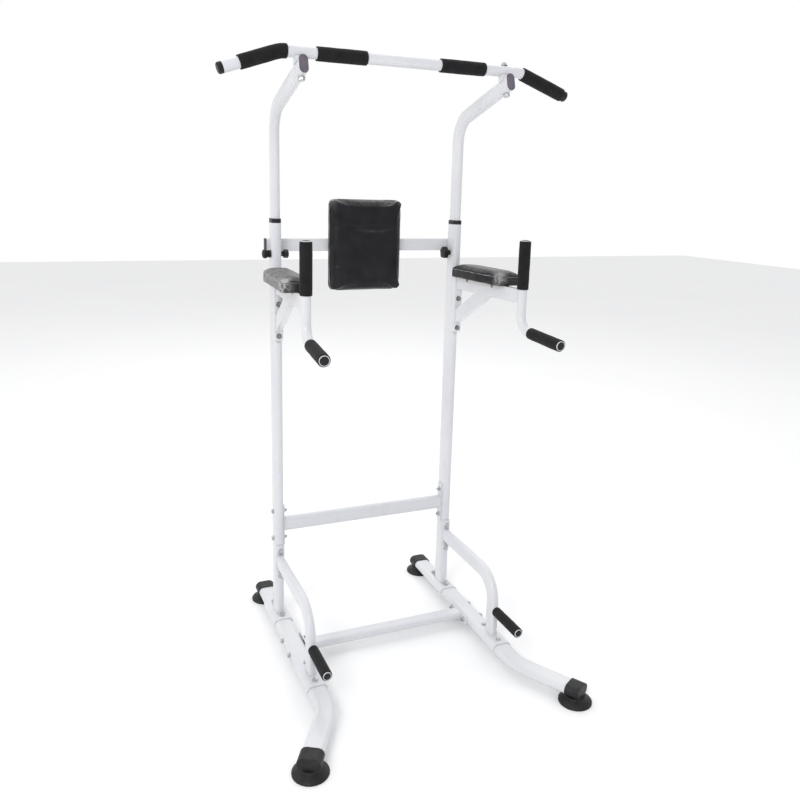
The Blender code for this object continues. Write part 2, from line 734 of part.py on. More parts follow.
def build_clamp_knob(label, side, radius, lobes, length):
    """A lobed knob on a screw that presses the gooseneck tube from the sleeve's inner face."""
    frame = lock_frame(side, -side)
    face = SLEEVE[1] / 2 + GAP
    tip = MAST_TUBE[1] / 2 + 2 * GAP
    top = face + length
    hub = (
        (0.0, top), (0.0075, top), (0.0085, top - 0.002), (0.0085, face + 0.001), (PIN_RADIUS, face),
        (PIN_RADIUS, tip), (0.0, tip),
    )
    knob = turned(label + "_clamp_knob", hub, frame, "black_plastic")
    rim = length * 0.55
    outline = star_outline(radius, radius * 0.18, lobes)
    place = frame @ Matrix.Translation((0, 0, top - 0.0015 - rim / 2))
    body = slab(label + "_clamp_knob_rim", [outline], rim, place, "black_plastic")
    edges = body.modifiers.new("edges", "BEVEL")
    edges.width = 0.0015
    edges.segments = 1
    return join(knob, body)


def build_height_lock():
    build_pull_pin("left", PIN_SIDE)
    build_clamp_knob("left", -1, 0.0135, 6, 0.026)
    build_clamp_knob("right", 1, 0.0205, 5, 0.029)


# ---- backrest -----------------------------------------------------------------------------------
def build_backrest():
    front_y = UPRIGHT_Y + SLEEVE[0] / 2 + GAP
    beam_y = front_y + BACK_BEAM[1] / 2
    length = 2 * BACK_BEAM_HALF_LENGTH
    outer = rounded_box(*BACK_BEAM[::-1], 0.004)
    inner = rounded_box(BACK_BEAM[1] - 2 * WALL, BACK_BEAM[0] - 2 * WALL, 0.0025)
    place = plane_matrix("YZ", (0, beam_y, BACK_BEAM_Z))
    slab("backrest_beam", [outer, inner], length, place, "white_steel")
    for label, side in SIDES:
        at = facing((side * (BACK_BEAM_HALF_LENGTH + GAP + 0.003), beam_y, BACK_BEAM_Z), (side, 0, 0))
        head = rounded_box(*BACK_BEAM, 0.004)
        stem = rounded_box(*(size - 2 * (WALL + GAP) for size in BACK_BEAM), 0.002)
        stepped_plug(label + "_beam_plug", head, stem, 0.003, 0.016, at, "black_plastic")
    bracket_y = front_y - GAP - BRACKET[2] / 2
    place = Matrix.Translation((0, bracket_y, BACK_BEAM_Z))
    box("backrest_bracket", (BRACKET[0], BRACKET[2], BRACKET[1]), place, "white_steel", bevel=0.0008)
    build_pad_pair("backrest", backrest_frame(bracket_y - BRACKET[2] / 2 - GAP), BACKREST)


def backrest_frame(rear_y):
    """Z points to the front, so the pad grows forward from the bracket."""
    return Matrix.Translation((BACKREST_X, rear_y, BACK_BEAM_Z)) @ euler_matrix((math.pi / 2, 0, 0))


def build_pad_pair(label, frame, size):
    """A pad with a board let into its back.  The pad's back lies in the frame's XY plane."""
    width, length, thickness = size
    board = (width - 2 * BOARD_MARGIN, length - 2 * BOARD_MARGIN, BOARD_THICKNESS)
    board_place = frame @ Matrix.Translation((0, 0, BOARD_THICKNESS / 2))
    box(label + "_board", board, board_place, "plywood")
    outline = rounded_box(width, length, 0.016, 4)
    pad_place = frame @ Matrix.Translation((0, 0, thickness / 2))
    pad = slab(label + "_pad", [outline], thickness, pad_place, "black_vinyl")
    pocket = (board[0] + 2 * GAP, board[1] + 2 * GAP, 2 * (BOARD_THICKNESS + GAP))
    return cut(pad, box(label + "_pocket", pocket, frame, "plywood"))


# ---- dip arms -----------------------------------------------------------------------------------
def arm_frame(side):
    """Placed on the sleeve's round front, with -Y pointing along the arm."""
    turn = Matrix.Rotation(side * ARM_SPLAY, 4, "Z")
    return Matrix.Translation((side * UPRIGHT_X, CLIP_PIVOT_Y, 0)) @ turn


def sleeve_clip(name, frame, bottom, top):
    place = frame @ Matrix.Translation((0, 0, (bottom + top) / 2))
    return slab(name, [clip_outline()], top - bottom, place, "white_steel")


def sleeve_room(name, frame):
    """The round front of a sleeve, with its clearance, as a cutter."""
    start = frame @ Vector((0, 0, 0))
    end = frame @ Vector((0, 0, SLEEVE_TOP))
    return rod(name, SLEEVE[1] / 2 + GAP, start, end, "white_steel", 24)


def strut_outline(top, root, inset=0.0):
    """A slanting bar in the arm's plane, from a height just inside the arm back to a root line."""
    under = ARM_TOP_Z - ARM_DEPTH
    corners = []
    for reach, side in zip(STRUT_AT_ARM, (1, -1)):
        line = reach + side * inset
        corners.append((-line - (top - under) / STRUT_DROP, top))
        corners.append((-root, under - (line - root) * STRUT_DROP))
    return [corners[0], corners[2], corners[3], corners[1]]


def box_outline(rear, front, bottom, top):
    """A rectangle in an arm's plane, between two reaches and two heights."""
    return [(-rear, top), (-front, top), (-front, bottom), (-rear, bottom)]


def build_dip_arm(name, side):
    """A box arm, open on top, and a strut under it, both welded to a channel on the sleeve's front."""
    frame = arm_frame(side)
    place = frame @ plane_matrix("YZ")
    under = ARM_TOP_Z - ARM_DEPTH
    root = ARM_POST_REACH - ARM_WALL / 2
    inner_root = ARM_POST_REACH + ARM_WALL / 2
    inner_end = HANDLE_REACH - HANDLE_RADIUS - ARM_WALL
    arm_inside = box_outline(inner_root, inner_end, under + ARM_WALL, ARM_TOP_Z + 0.01)
    strut_inside = strut_outline(under + 2 * ARM_WALL, inner_root, 1.5 * ARM_WALL)
    post_inside = box_outline(0, ARM_POST_REACH - ARM_WALL, ARM_POST_BOTTOM_Z - 0.01, ARM_TOP_Z + 0.01)
    solids = (
        ("post", box_outline(0.004, ARM_POST_REACH, ARM_POST_BOTTOM_Z, ARM_TOP_Z), ARM_POST_WIDTH),
        ("strut", strut_outline(under + ARM_WALL / 2, root), ARM_WIDTH),
    )
    hollows = (
        ("arm_inside", arm_inside, ARM_WIDTH - 2 * ARM_WALL),
        ("strut_inside", strut_inside, ARM_WIDTH - 2 * ARM_WALL),
        ("post_inside", post_inside, ARM_POST_WIDTH - 2 * ARM_WALL),
    )
    arm = slab(name, [box_outline(root, HANDLE_REACH, under, ARM_TOP_Z)], ARM_WIDTH, place, "white_steel")
    for label, outline, width in solids:
        join(arm, slab(f"{name}_{label}", [outline], width, place, "white_steel"))
    for label, outline, width in hollows:
        cut(arm, slab(f"{name}_{label}", [outline], width, place, "white_steel"))
    cut(arm, sleeve_room(name + "_sleeve_room", frame))
    start = frame @ Vector((0, -HANDLE_REACH, under - 0.02))
    end = frame @ Vector((0, -HANDLE_REACH, ARM_TOP_Z + 0.02))
    return cut(arm, rod(name + "_handle_room", HANDLE_RADIUS + GAP, start, end, "white_steel", 24))


def handle_path():
    drop = (HANDLE_END_REACH - HANDLE_REACH) * math.tan(HANDLE_DROOP)
    corners = [
        (-HANDLE_REACH, HANDLE_TOP_Z), (-HANDLE_REACH, HANDLE_CORNER_Z),
        (-HANDLE_END_REACH, HANDLE_CORNER_Z - drop),
    ]
    return rounded_path(corners, HANDLE_BEND_RADIUS)


def build_handle(label, side):
    """The bent handle tube with its two foam grips and its two plugs."""
    frame = arm_frame(side)
    place = frame @ plane_matrix("YZ")
    path = handle_path()
    length = path_length(path)
    tube = round_bar(label + "_handle_tube", path, HANDLE_RADIUS, place, "white_steel", capped=False)
    hollow(tube, WALL)
    upright_end = HANDLE_TOP_Z - HANDLE_UPRIGHT_GRIP_BOTTOM_Z
    stretches = (
        ("upright", HANDLE_FOAM_SETBACK, upright_end),
        ("dip", length - HANDLE_DIP_GRIP_LENGTH, length - HANDLE_FOAM_SETBACK),
    )
    for kind, start, end in stretches:
        stretch = path_portion(path, start, end)
        grip = round_bar(
            f"{label}_{kind}_grip", stretch, HANDLE_FOAM_RADIUS, place, "black_foam", capped=False
        )
        hollow(grip, HANDLE_FOAM_RADIUS - HANDLE_RADIUS - GAP)
    profile = inner_plug_profile(HANDLE_RADIUS - WALL - 2 * GAP)
    for kind, end, inner in (("upright", path[0], path[1]), ("dip", path[-1], path[-2])):
        outward = place.to_3x3() @ (end - inner).to_3d()
        at = facing(place @ end.to_3d(), outward)
        turned(f"{label}_{kind}_plug", profile, at, "black_plastic")


def inner_plug_profile(radius):
    """A plug that sits inside a tube, with a low dome that stands just proud of the end."""
    return (
        (0.0, 0.0018), (radius * 0.6, 0.0013), (radius, 0.0002), (radius, -0.018), (0.0, -0.018),
    )


def arm_pad_frame(label, side):
    """Z points up from the arm's top; the pad's length runs along the arm."""
    rear, outward = ARM_PAD_PLACE[label]
    middle = rear + ARM_PAD[1] / 2
    return arm_frame(side) @ Matrix.Translation((side * outward, -middle, ARM_TOP_Z + GAP))


def build_dip_arms():
    for label, side in SIDES:
        build_dip_arm(label + "_dip_arm", side)
        build_handle(label, side)
        build_pad_pair(label + "_arm", arm_pad_frame(label, side), ARM_PAD)


# ---- braces and push-up grips -------------------------------------------------------------------
def build_brace(name, side):
    """A bent tube from the upright's front down to the rail, with the push-up grip's stub on it."""
    x = side * UPRIGHT_X
    plane = plane_matrix("YZ", (x, 0, 0))
    root_y = CLIP_PIVOT_Y - 0.008
    foot_z = SADDLE_TOP - 0.001
    corners = [(root_y, BRACE_Z), (BRACE_Y, BRACE_Z), (BRACE_Y, foot_z)]
    brace = oval_bar(name, rounded_path(corners, BRACE_BEND_RADIUS), MAST_TUBE, plane, "white_steel")
    frame = Matrix.Translation((x, CLIP_PIVOT_Y, 0))
    half = BRACE_CLIP_HEIGHT / 2
    join(brace, sleeve_clip(name + "_clip", frame, BRACE_Z - half, BRACE_Z + half))
    join(brace, rail_saddle(name + "_saddle", x, BRACE_Y))
    stub_end = (x, UPRIGHT_Y - GRIP_REACH[1], GRIP_Z)
    join(brace, rod(name + "_stub", GRIP_TUBE_RADIUS, (x, BRACE_Y - 0.02, GRIP_Z), stub_end, "white_steel"))
    bore = tuple(size - 2 * WALL for size in MAST_TUBE)
    inside = [(root_y + 0.02, BRACE_Z), (BRACE_Y, BRACE_Z), (BRACE_Y, RAIL_Z)]
    cut(brace, oval_bar(name + "_bore", rounded_path(inside, BRACE_BEND_RADIUS), bore, plane, "white_steel"))
    stub_bore = (x, BRACE_Y - MAST_TUBE[0] / 2 - 0.004, GRIP_Z)
    past_end = (x, stub_end[1] - 0.01, GRIP_Z)
    cut(brace, rod(name + "_stub_bore", GRIP_TUBE_RADIUS - WALL, stub_bore, past_end, "white_steel"))
    return cut(brace, sleeve_room(name + "_sleeve_room", frame))


def build_push_up_grip(label, side):
    x = side * UPRIGHT_X
    start = UPRIGHT_Y - GRIP_REACH[0]
    end = UPRIGHT_Y - GRIP_REACH[1]
    plane = plane_matrix("YZ", (x, 0, GRIP_Z))
    stretch = [(start, 0), (end + HANDLE_FOAM_SETBACK, 0)]
    grip = round_bar(label + "_push_up_grip", stretch, GRIP_FOAM_RADIUS, plane, "black_foam", capped=False)
    hollow(grip, GRIP_FOAM_RADIUS - GRIP_TUBE_RADIUS - GAP)
    profile = inner_plug_profile(GRIP_TUBE_RADIUS - WALL - 2 * GAP)
    turned(label + "_push_up_plug", profile, facing((x, end, GRIP_Z), (0, -1, 0)), "black_plastic")


def build_braces():
    for label, side in SIDES:
        build_brace(label + "_brace", side)
        build_push_up_grip(label, side)


def build_uprights():
    for label, side in SIDES:
        build_upright(label + "_upright", side)
        build_collar(label + "_collar", side)


build_base()
build_cross_beams()
build_uprights()
build_braces()
build_backrest()
build_dip_arms()
build_height_lock()
build_mast()
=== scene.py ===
"""Looks of the power tower: cushions, foam grips, fasteners, welds and every material.

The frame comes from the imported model, whose front is -Y and right side +X.  Lengths are metres.
"""
import json
import math

import bmesh
import bpy
from mathutils import Matrix, Vector, noise
from mathutils.bvhtree import BVHTree


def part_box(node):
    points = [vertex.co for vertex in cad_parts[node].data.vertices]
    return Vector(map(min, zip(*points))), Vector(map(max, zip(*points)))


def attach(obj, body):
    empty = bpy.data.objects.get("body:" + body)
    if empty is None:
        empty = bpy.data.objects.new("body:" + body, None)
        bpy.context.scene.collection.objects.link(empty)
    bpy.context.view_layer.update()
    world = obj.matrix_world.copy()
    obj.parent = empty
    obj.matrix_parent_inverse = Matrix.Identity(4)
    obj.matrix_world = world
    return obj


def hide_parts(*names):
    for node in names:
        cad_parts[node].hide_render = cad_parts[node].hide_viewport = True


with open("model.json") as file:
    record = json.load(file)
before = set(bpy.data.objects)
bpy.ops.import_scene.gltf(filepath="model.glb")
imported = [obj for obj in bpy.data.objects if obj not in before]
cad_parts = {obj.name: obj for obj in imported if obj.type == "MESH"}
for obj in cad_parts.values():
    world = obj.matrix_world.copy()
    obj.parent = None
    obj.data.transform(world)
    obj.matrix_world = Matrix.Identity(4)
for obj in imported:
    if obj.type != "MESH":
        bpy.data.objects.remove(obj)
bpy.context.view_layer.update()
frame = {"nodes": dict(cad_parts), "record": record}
NODES = frame["nodes"]
SIDES = (("left", -1), ("right", 1))

# ---- sizes read from the frame ------------------------------------------------------------------
TOUCH = 0.0003                                     # clearance that the CAD keeps between pieces
PLATE = 0.003                                      # thickness of the welded clips and saddles
FLANGE = 0.004                                     # thickness of the cross beams' end plates
SLEEVE_LOW, SLEEVE_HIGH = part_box("right_upright")
SLEEVE_X = (SLEEVE_LOW.x + SLEEVE_HIGH.x) / 2
SLEEVE_HALF_WIDTH = 0.015
SLEEVE_HALF_DEPTH = 0.030
COLLAR_LOW, COLLAR_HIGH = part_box("right_collar")
SLEEVE_Y = (COLLAR_LOW.y + COLLAR_HIGH.y) / 2
RAIL_LOW, RAIL_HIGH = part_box("right_base_rail")
RAIL_Z = (RAIL_LOW.z + RAIL_HIGH.z) / 2
SADDLE_TOP = RAIL_HIGH.z + TOUCH + PLATE
RAIL_HALF_WIDTH = SLEEVE_HALF_DEPTH
TUBE_LONG = 0.050                                  # flat-oval tube of the beams, braces and mast
TUBE_SHORT = 0.025

ARM_SPLAY = math.radians(3.2)                      # the dip arms turn outwards by this much
ARM_PIVOT_Y = SLEEVE_Y - SLEEVE_HALF_WIDTH
ARM_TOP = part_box("right_dip_arm")[1].z
ARM_DEPTH = 0.042
ARM_POST_REACH = 0.030                             # from the arm's pivot to its post's front
ARM_HALF_WIDTH = 0.010
ARM_TO_HANDLE = 0.3918                             # from the pivot to where its sides meet the handle

BRACE_Y = SLEEVE_Y - 0.384
BEAM_LOW, BEAM_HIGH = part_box("lower_cross_beam")
BEAM_Z = (BEAM_LOW.z + BEAM_HIGH.z) / 2
BEAM_FLANGE_X = BEAM_HIGH.x - FLANGE               # inner face of the end plate
BASE_LOW, BASE_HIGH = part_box("base_cross_beam")
BASE_Y = (BASE_LOW.y + BASE_HIGH.y) / 2
BASE_FLANGE_X = BASE_HIGH.x - FLANGE

# ---- where the bolts sit; a step is half the distance between the two bolts of a pair ------------
# Each saddle's name, middle and step.
SADDLE_BOLTS = (("upright", SLEEVE_Y + 0.006, 0.053), ("brace", BRACE_Y, 0.048))
BEAM_BOLT_STEP = 0.048
BASE_BOLT_STEP = 0.043
BRACE_BOLT_HEIGHTS = (("lower", 0.199), ("upper", 0.2875))
ARM_BOLT_HEIGHTS = (("lower", 1.0225), ("upper", 1.1225))
PAD_SCREW_DROP = 0.0075                            # below the arm's top
PAD_SCREW_SHARES = (("front", 0.25), ("rear", 0.75))
BACKREST_BOLT_X = 0.075

# ---- details that the CAD leaves out ------------------------------------------------------------
MERGE_DISTANCE = 0.00002
SHARP_ANGLE = 38                                   # degrees; edges over this stay sharp
FOAM_EDGE = 0.0016                                 # rounding of a foam grip's ends
FOAM_UNEVENNESS = 0.00035
COVER_VOXEL = 0.0045
COVER_START = (0.985, 0.99)                        # share of its width and length before it swells
CLOTH_FRAMES = 20
MOST_SWELLING = 0.007
PLEAT_REACH = 0.035
COVER_UNEVENNESS = 0.0004                          # depth of the pleats and of the skin's waves
BACKREST_FOLD = (0.022, 0.036, 0.014, 0.085)       # middle across and along, bend, half length
CREASE_WIDTH = 0.0055
FOOT_BEAD = 0.0016                                 # radius of the weld beads
BEAM_BEAD = 0.0014
HANDLE_BEAD = 0.0013


# ---- small helpers ------------------------------------------------------------------------------
def new_object(name, mesh, body, material, matrix=None):
    obj = bpy.data.objects.new(name, mesh)
    bpy.context.scene.collection.objects.link(obj)
    if matrix is not None:
        obj.matrix_world = matrix
    mesh.materials.clear()
    mesh.materials.append(material)
    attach(obj, body)
    return obj


def smooth(mesh, degrees=40):
    mesh.shade_smooth()
    mesh.set_sharp_from_angle(angle=math.radians(degrees))


def evaluated_mesh(obj):
    graph = bpy.context.evaluated_depsgraph_get()
    return bpy.data.meshes.new_from_object(obj.evaluated_get(graph))


def facing(location, direction, up=(0, 0, 1)):
    """A placement whose Z axis points along a direction."""
    z = Vector(direction).normalized()
    x = Vector(up).cross(z)
    if x.length < 1e-4:
        x = Vector((1, 0, 0))
    x.normalize()
    y = z.cross(x)
    turn = Matrix((x, y, z)).transposed().to_4x4()
    return Matrix.Translation(location) @ turn


def arm_frame(side):
    """Stands on the sleeve's round front, with -Y pointing along the dip arm."""
    turn = Matrix.Rotation(side * ARM_SPLAY, 4, "Z")
    return Matrix.Translation((side * SLEEVE_X, ARM_PIVOT_Y, 0)) @ turn


# ---- materials ----------------------------------------------------------------------------------
class Shader:
    """A thin wrapper that keeps the node code short."""

    def __init__(self, name, colour, roughness, **constants):
        self.material = bpy.data.materials.new(name)
        self.material.use_nodes = True
        self.nodes = self.material.node_tree.nodes
        self.links = self.material.node_tree.links
        self.principled = self.nodes["Principled BSDF"]
        self.principled.inputs["Base Color"].default_value = (*colour, 1)
        self.principled.inputs["Roughness"].default_value = roughness
        for key, value in constants.items():
            self.principled.inputs[key.replace("_", " ")].default_value = value
        self.place = self.nodes.new("ShaderNodeTexCoord").outputs["Object"]

    def link(self, output, node_input):
        self.links.new(output, node_input)

    def feed(self, value, node_input):
        """Sets an input to a number, or links it to an output."""
        if isinstance(value, (int, float)):
            node_input.default_value = value
        else:
            self.link(value, node_input)

    def noise(self, scale, detail=4.0, roughness=0.55, distortion=0.0, stretch=None):
        node = self.nodes.new("ShaderNodeTexNoise")
        node.inputs["Scale"].default_value = scale
        node.inputs["Detail"].default_value = detail
        node.inputs["Roughness"].default_value = roughness
        node.inputs["Distortion"].default_value = distortion
        self.link(self.stretched(stretch), node.inputs["Vector"])
        return node.outputs["Fac"]

    def cells(self, scale, feature="F1", stretch=None):
        node = self.nodes.new("ShaderNodeTexVoronoi")
        node.feature = feature
        node.inputs["Scale"].default_value = scale
        self.link(self.stretched(stretch), node.inputs["Vector"])
        return node.outputs["Distance"]

    def attribute(self, name):
        node = self.nodes.new("ShaderNodeAttribute")
        node.attribute_name = name
        return node.outputs["Fac"]

    def stretched(self, factors):
        if factors is None:
            return self.place
        node = self.nodes.new("ShaderNodeMapping")
        node.inputs["Scale"].default_value = factors
        self.link(self.place, node.inputs["Vector"])
        return node.outputs["Vector"]

    def spread(self, source, low, high, from_low=0.0, from_high=1.0):
        """Maps a value's range to another range."""
        node = self.nodes.new("ShaderNodeMapRange")
        ends = {"From Min": from_low, "From Max": from_high, "To Min": low, "To Max": high}
        for key, value in ends.items():
            node.inputs[key].default_value = value
        self.link(source, node.inputs["Value"])
        return node.outputs["Result"]

    def colours(self, source, *stops):
        node = self.nodes.new("ShaderNodeValToRGB")
        ramp = node.color_ramp
        while len(ramp.elements) < len(stops):
            ramp.elements.new(0.5)
        for element, (position, colour) in zip(ramp.elements, stops):
            element.position = position
            element.color = (*colour, 1)
        self.link(source, node.inputs["Fac"])
        return node.outputs["Color"]

    def math(self, operation, first, second):
        node = self.nodes.new("ShaderNodeMath")
        node.operation = operation
        for index, value in enumerate((first, second)):
            self.feed(value, node.inputs[index])
        return node.outputs["Value"]

    def ridges(self, source):
        """Falls to 0 along the lines where a noise crosses its middle."""
        return self.math("ABSOLUTE", self.math("SUBTRACT", source, 0.5), 0.0)

    def mix(self, factor, first, second, blend="MIX"):
        """Mixes two colours; a mix node's colours are its inputs 6 and 7 and its output 2."""
        node = self.nodes.new("ShaderNodeMix")
        node.data_type = "RGBA"
        node.blend_type = blend
        self.feed(factor, node.inputs["Factor"])
        self.link(first, node.inputs[6])
        self.link(second, node.inputs[7])
        return node.outputs[2]

    def bump(self, height, distance, strength=1.0, under=None):
        node = self.nodes.new("ShaderNodeBump")
        node.inputs["Strength"].default_value = strength
        node.inputs["Distance"].default_value = distance
        self.link(height, node.inputs["Height"])
        if under is not None:
            self.link(under, node.inputs["Normal"])
        return node.outputs["Normal"]

    def set_input(self, name, source):
        self.link(source, self.principled.inputs[name])

    def tint(self, source, *stops):
        """Colours the surface by a value."""
        self.set_input("Base Color", self.colours(source, *stops))

    def roughen(self, source, low, high):
        self.set_input("Roughness", self.spread(source, low, high))

    def emboss(self, height, distance, strength, under=None):
        self.set_input("Normal", self.bump(height, distance, strength, under))


def powder_coat():
    """Glossy white powder coat with a faint orange peel and light handling marks."""
    shader = Shader(
        "white_powder_coat", (0.67, 0.68, 0.70), 0.3, Coat_Weight=0.35, Coat_Roughness=0.12,
    )
    tint = shader.noise(3.0, 5.0)
    clean = shader.colours(tint, (0.3, (0.635, 0.645, 0.68)), (0.7, (0.715, 0.72, 0.735)))
    marks = shader.noise(17.0, 6.0, 0.6, stretch=(1, 1, 0.4))
    marked = shader.colours(marks, (0.58, (1, 1, 1)), (0.74, (0.80, 0.80, 0.79)))
    shader.set_input("Base Color", shader.mix(0.35, clean, marked, "MULTIPLY"))
    shader.roughen(shader.noise(22.0, 6.0), 0.22, 0.42)
    peel = shader.bump(shader.noise(420.0, 2.0), 0.00018, 0.35)
    shader.emboss(shader.noise(9.0, 2.0), 0.0015, 0.12, peel)
    return shader.material


def weld_metal():
    """The same coat over a rippled weld bead."""
    shader = Shader("coated_weld", (0.82, 0.83, 0.84), 0.38, Coat_Weight=0.3, Coat_Roughness=0.15)
    shader.tint(shader.noise(160.0, 4.0), (0.35, (0.50, 0.50, 0.52)), (0.6, (0.69, 0.695, 0.715)))
    shader.emboss(shader.noise(500.0, 3.0), 0.0006, 0.7)
    return shader.material


def foam_rubber():
    """Closed-cell foam: dull black with a fine open grain and pressed marks."""
    shader = Shader(
        "black_foam", (0.014, 0.014, 0.015), 0.82, Specular_IOR_Level=0.22, Sheen_Weight=0.04,
        Sheen_Roughness=0.5,
    )
    tone = shader.noise(45.0, 6.0, 0.6)
    shader.tint(tone, (0.3, (0.006, 0.006, 0.007)), (0.75, (0.015, 0.015, 0.016)))
    shader.roughen(shader.noise(90.0, 3.0), 0.70, 0.92)
    cells = shader.bump(shader.cells(900.0), 0.0005, 0.55)
    shader.emboss(shader.noise(60.0, 5.0, 0.65), 0.0009, 0.5, cells)
    return shader.material


def wrapped_vinyl():
    """Black grained vinyl under a clear wrap; the light that its loose folds catch is painted into the
    base colour as grey sheen and bright glints.
    """
    shader = Shader(
        "wrapped_vinyl", (0.008, 0.008, 0.009), 0.4, Specular_IOR_Level=0.12, Coat_Weight=0.22,
        Coat_Roughness=0.07,
    )
    # How much painted reflection of the clear wrap each point gets, from 0 to 1.
    film_glare = shader.attribute("film_glare")
    folds = shader.ridges(shader.noise(24.0, 8.0, 0.6, 1.4))
    fine = shader.ridges(shader.noise(85.0, 5.0, 0.6, 1.0))
    tone = shader.noise(16.0, 4.0)
    plain = shader.colours(tone, (0.3, (0.006, 0.006, 0.007)), (0.75, (0.016, 0.015, 0.019)))
    # Painted sheen: grey reflection of the clear wrap, painted into the base colour.
    painted_sheen = shader.colours(
        shader.noise(11.0, 6.0, 0.65), (0.34, (0.02, 0.02, 0.02)), (0.55, (0.13, 0.126, 0.118)),
        (0.75, (0.38, 0.375, 0.36)),
    )
    # Painted glints: bright highlights on the wrap's fine creases, painted into the base colour.
    glints = shader.colours(fine, (0.0, (0.95, 0.95, 0.97)), (0.2, (0.70, 0.70, 0.71)))
    painted_sheen_share = shader.math("MULTIPLY", film_glare, shader.spread(folds, 1.0, 0.35, 0.0, 0.12))
    with_painted_sheen = shader.mix(painted_sheen_share, plain, painted_sheen)
    near_fold = shader.spread(folds, 1.0, 0.0, 0.0, 0.045)
    near_fine = shader.spread(fine, 0.8, 0.0, 0.0, 0.060)
    near_any = shader.math("MAXIMUM", near_fold, near_fine)
    glint_share = shader.math("MULTIPLY", shader.math("POWER", film_glare, 2.4), near_any)
    surface = shader.mix(shader.math("MULTIPLY", glint_share, 0.45), with_painted_sheen, glints)
    shader.set_input("Base Color", surface)
    shader.roughen(shader.noise(35.0, 4.0), 0.32, 0.5)
    shader.emboss(shader.cells(620.0, "SMOOTH_F1"), 0.0004, 0.35)
    wide = shader.bump(shader.noise(12.0, 4.0, 0.55, 0.8), 0.006, 0.4)
    shader.set_input("Coat Normal", shader.bump(folds, 0.006, 0.5, wide))
    return shader.material


def piping_vinyl():
    """The cover's rolled seam; its pale grey streaks are a painted highlight of the clear wrap along
    the edge.
    """
    shader = Shader("seam_piping", (0.08, 0.08, 0.08), 0.35, Coat_Weight=0.4, Coat_Roughness=0.1)
    tone = shader.noise(38.0, 5.0, 0.6)
    # Pale grey streaks: painted highlight along the seam.
    shader.tint(tone, (0.38, (0.02, 0.02, 0.022)), (0.62, (0.30, 0.30, 0.31)))
    shader.emboss(shader.noise(260.0, 3.0), 0.0005, 0.5)
    return shader.material


def plywood():
    shader = Shader("plywood", (0.47, 0.31, 0.17), 0.62)
    grain = shader.noise(14.0, 8.0, 0.6, 0.4, stretch=(1, 1, 12))
    shader.tint(grain, (0.3, (0.34, 0.21, 0.11)), (0.7, (0.56, 0.39, 0.22)))
    shader.emboss(grain, 0.0006, 0.5)
    return shader.material


def moulded_rubber():
    """Dusty black rubber, greyer where shoes and hands have rubbed it."""
    shader = Shader("black_rubber", (0.01, 0.01, 0.011), 0.45, Specular_IOR_Level=0.35)
    dust = shader.noise(18.0, 7.0, 0.65)
    shader.tint(dust, (0.4, (0.006, 0.006, 0.007)), (0.85, (0.035, 0.035, 0.035)))
    shader.roughen(shader.noise(30.0, 5.0), 0.36, 0.68)
    shader.emboss(shader.noise(380.0, 4.0), 0.0004, 0.5)
    return shader.material


def moulded_plastic(name, dark, light, roughness):
    """Moulded plastic with a fine spark-eroded texture."""
    shader = Shader(name, light, roughness, Specular_IOR_Level=0.3)
    shader.tint(shader.noise(30.0, 5.0), (0.3, dark), (0.75, light))
    shader.roughen(shader.noise(24.0, 4.0), roughness - 0.08, roughness + 0.12)
    shader.emboss(shader.noise(700.0, 2.0), 0.0003, 0.45)
    return shader.material


def plated_steel(name, dark, light):
    """Zinc-plated fastener steel with a slight bloom."""
    shader = Shader(name, light, 0.3, Metallic=1.0)
    shader.tint(shader.noise(120.0, 6.0, 0.6), (0.3, dark), (0.7, light))
    shader.roughen(shader.noise(90.0, 4.0), 0.22, 0.46)
    shader.emboss(shader.noise(600.0, 2.0), 0.0002, 0.4)
    return shader.material


def studio_floor():
    shader = Shader("studio_floor", (0.95, 0.95, 0.95), 0.9, Specular_IOR_Level=0.1)
    shader.tint(shader.noise(0.8, 3.0), (0.3, (0.94, 0.94, 0.943)), (0.7, (0.955, 0.955, 0.955)))
    return shader.material


COAT = powder_coat()
WELD = weld_metal()
FOAM = foam_rubber()
VINYL = wrapped_vinyl()
PIPING = piping_vinyl()
WOOD = plywood()
RUBBER = moulded_rubber()
PLASTIC = moulded_plastic("black_plastic", (0.007, 0.007, 0.008), (0.018, 0.018, 0.020), 0.42)
SMOKE = moulded_plastic("smoke_plastic", (0.105, 0.092, 0.115), (0.165, 0.148, 0.175), 0.5)
ZINC = plated_steel("bright_zinc", (0.42, 0.42, 0.43), (0.70, 0.70, 0.71))
DARK_ZINC = plated_steel("dark_zinc", (0.16, 0.165, 0.17), (0.36, 0.37, 0.38))
SLOT_MATERIAL = {
    "white_steel": COAT, "foam": FOAM, "vinyl": VINYL, "plywood": WOOD, "rubber": RUBBER,
    "plastic": PLASTIC, "smoke_plastic": SMOKE, "zinc_steel": ZINC,
}
SLOT_OF = {part["node"]: part["material_slot"] for part in frame["record"]["subparts"]}
BODY_OF = {
    node: body
    for body, members in frame["record"]["behaviour"]["bodies"].items()
    for node in members
}


def dress_cad_nodes():
    """Every CAD node takes the detailed material of its record slot."""
    for name, obj in NODES.items():
        for place in obj.material_slots:
            place.material = SLOT_MATERIAL[SLOT_OF[name]]


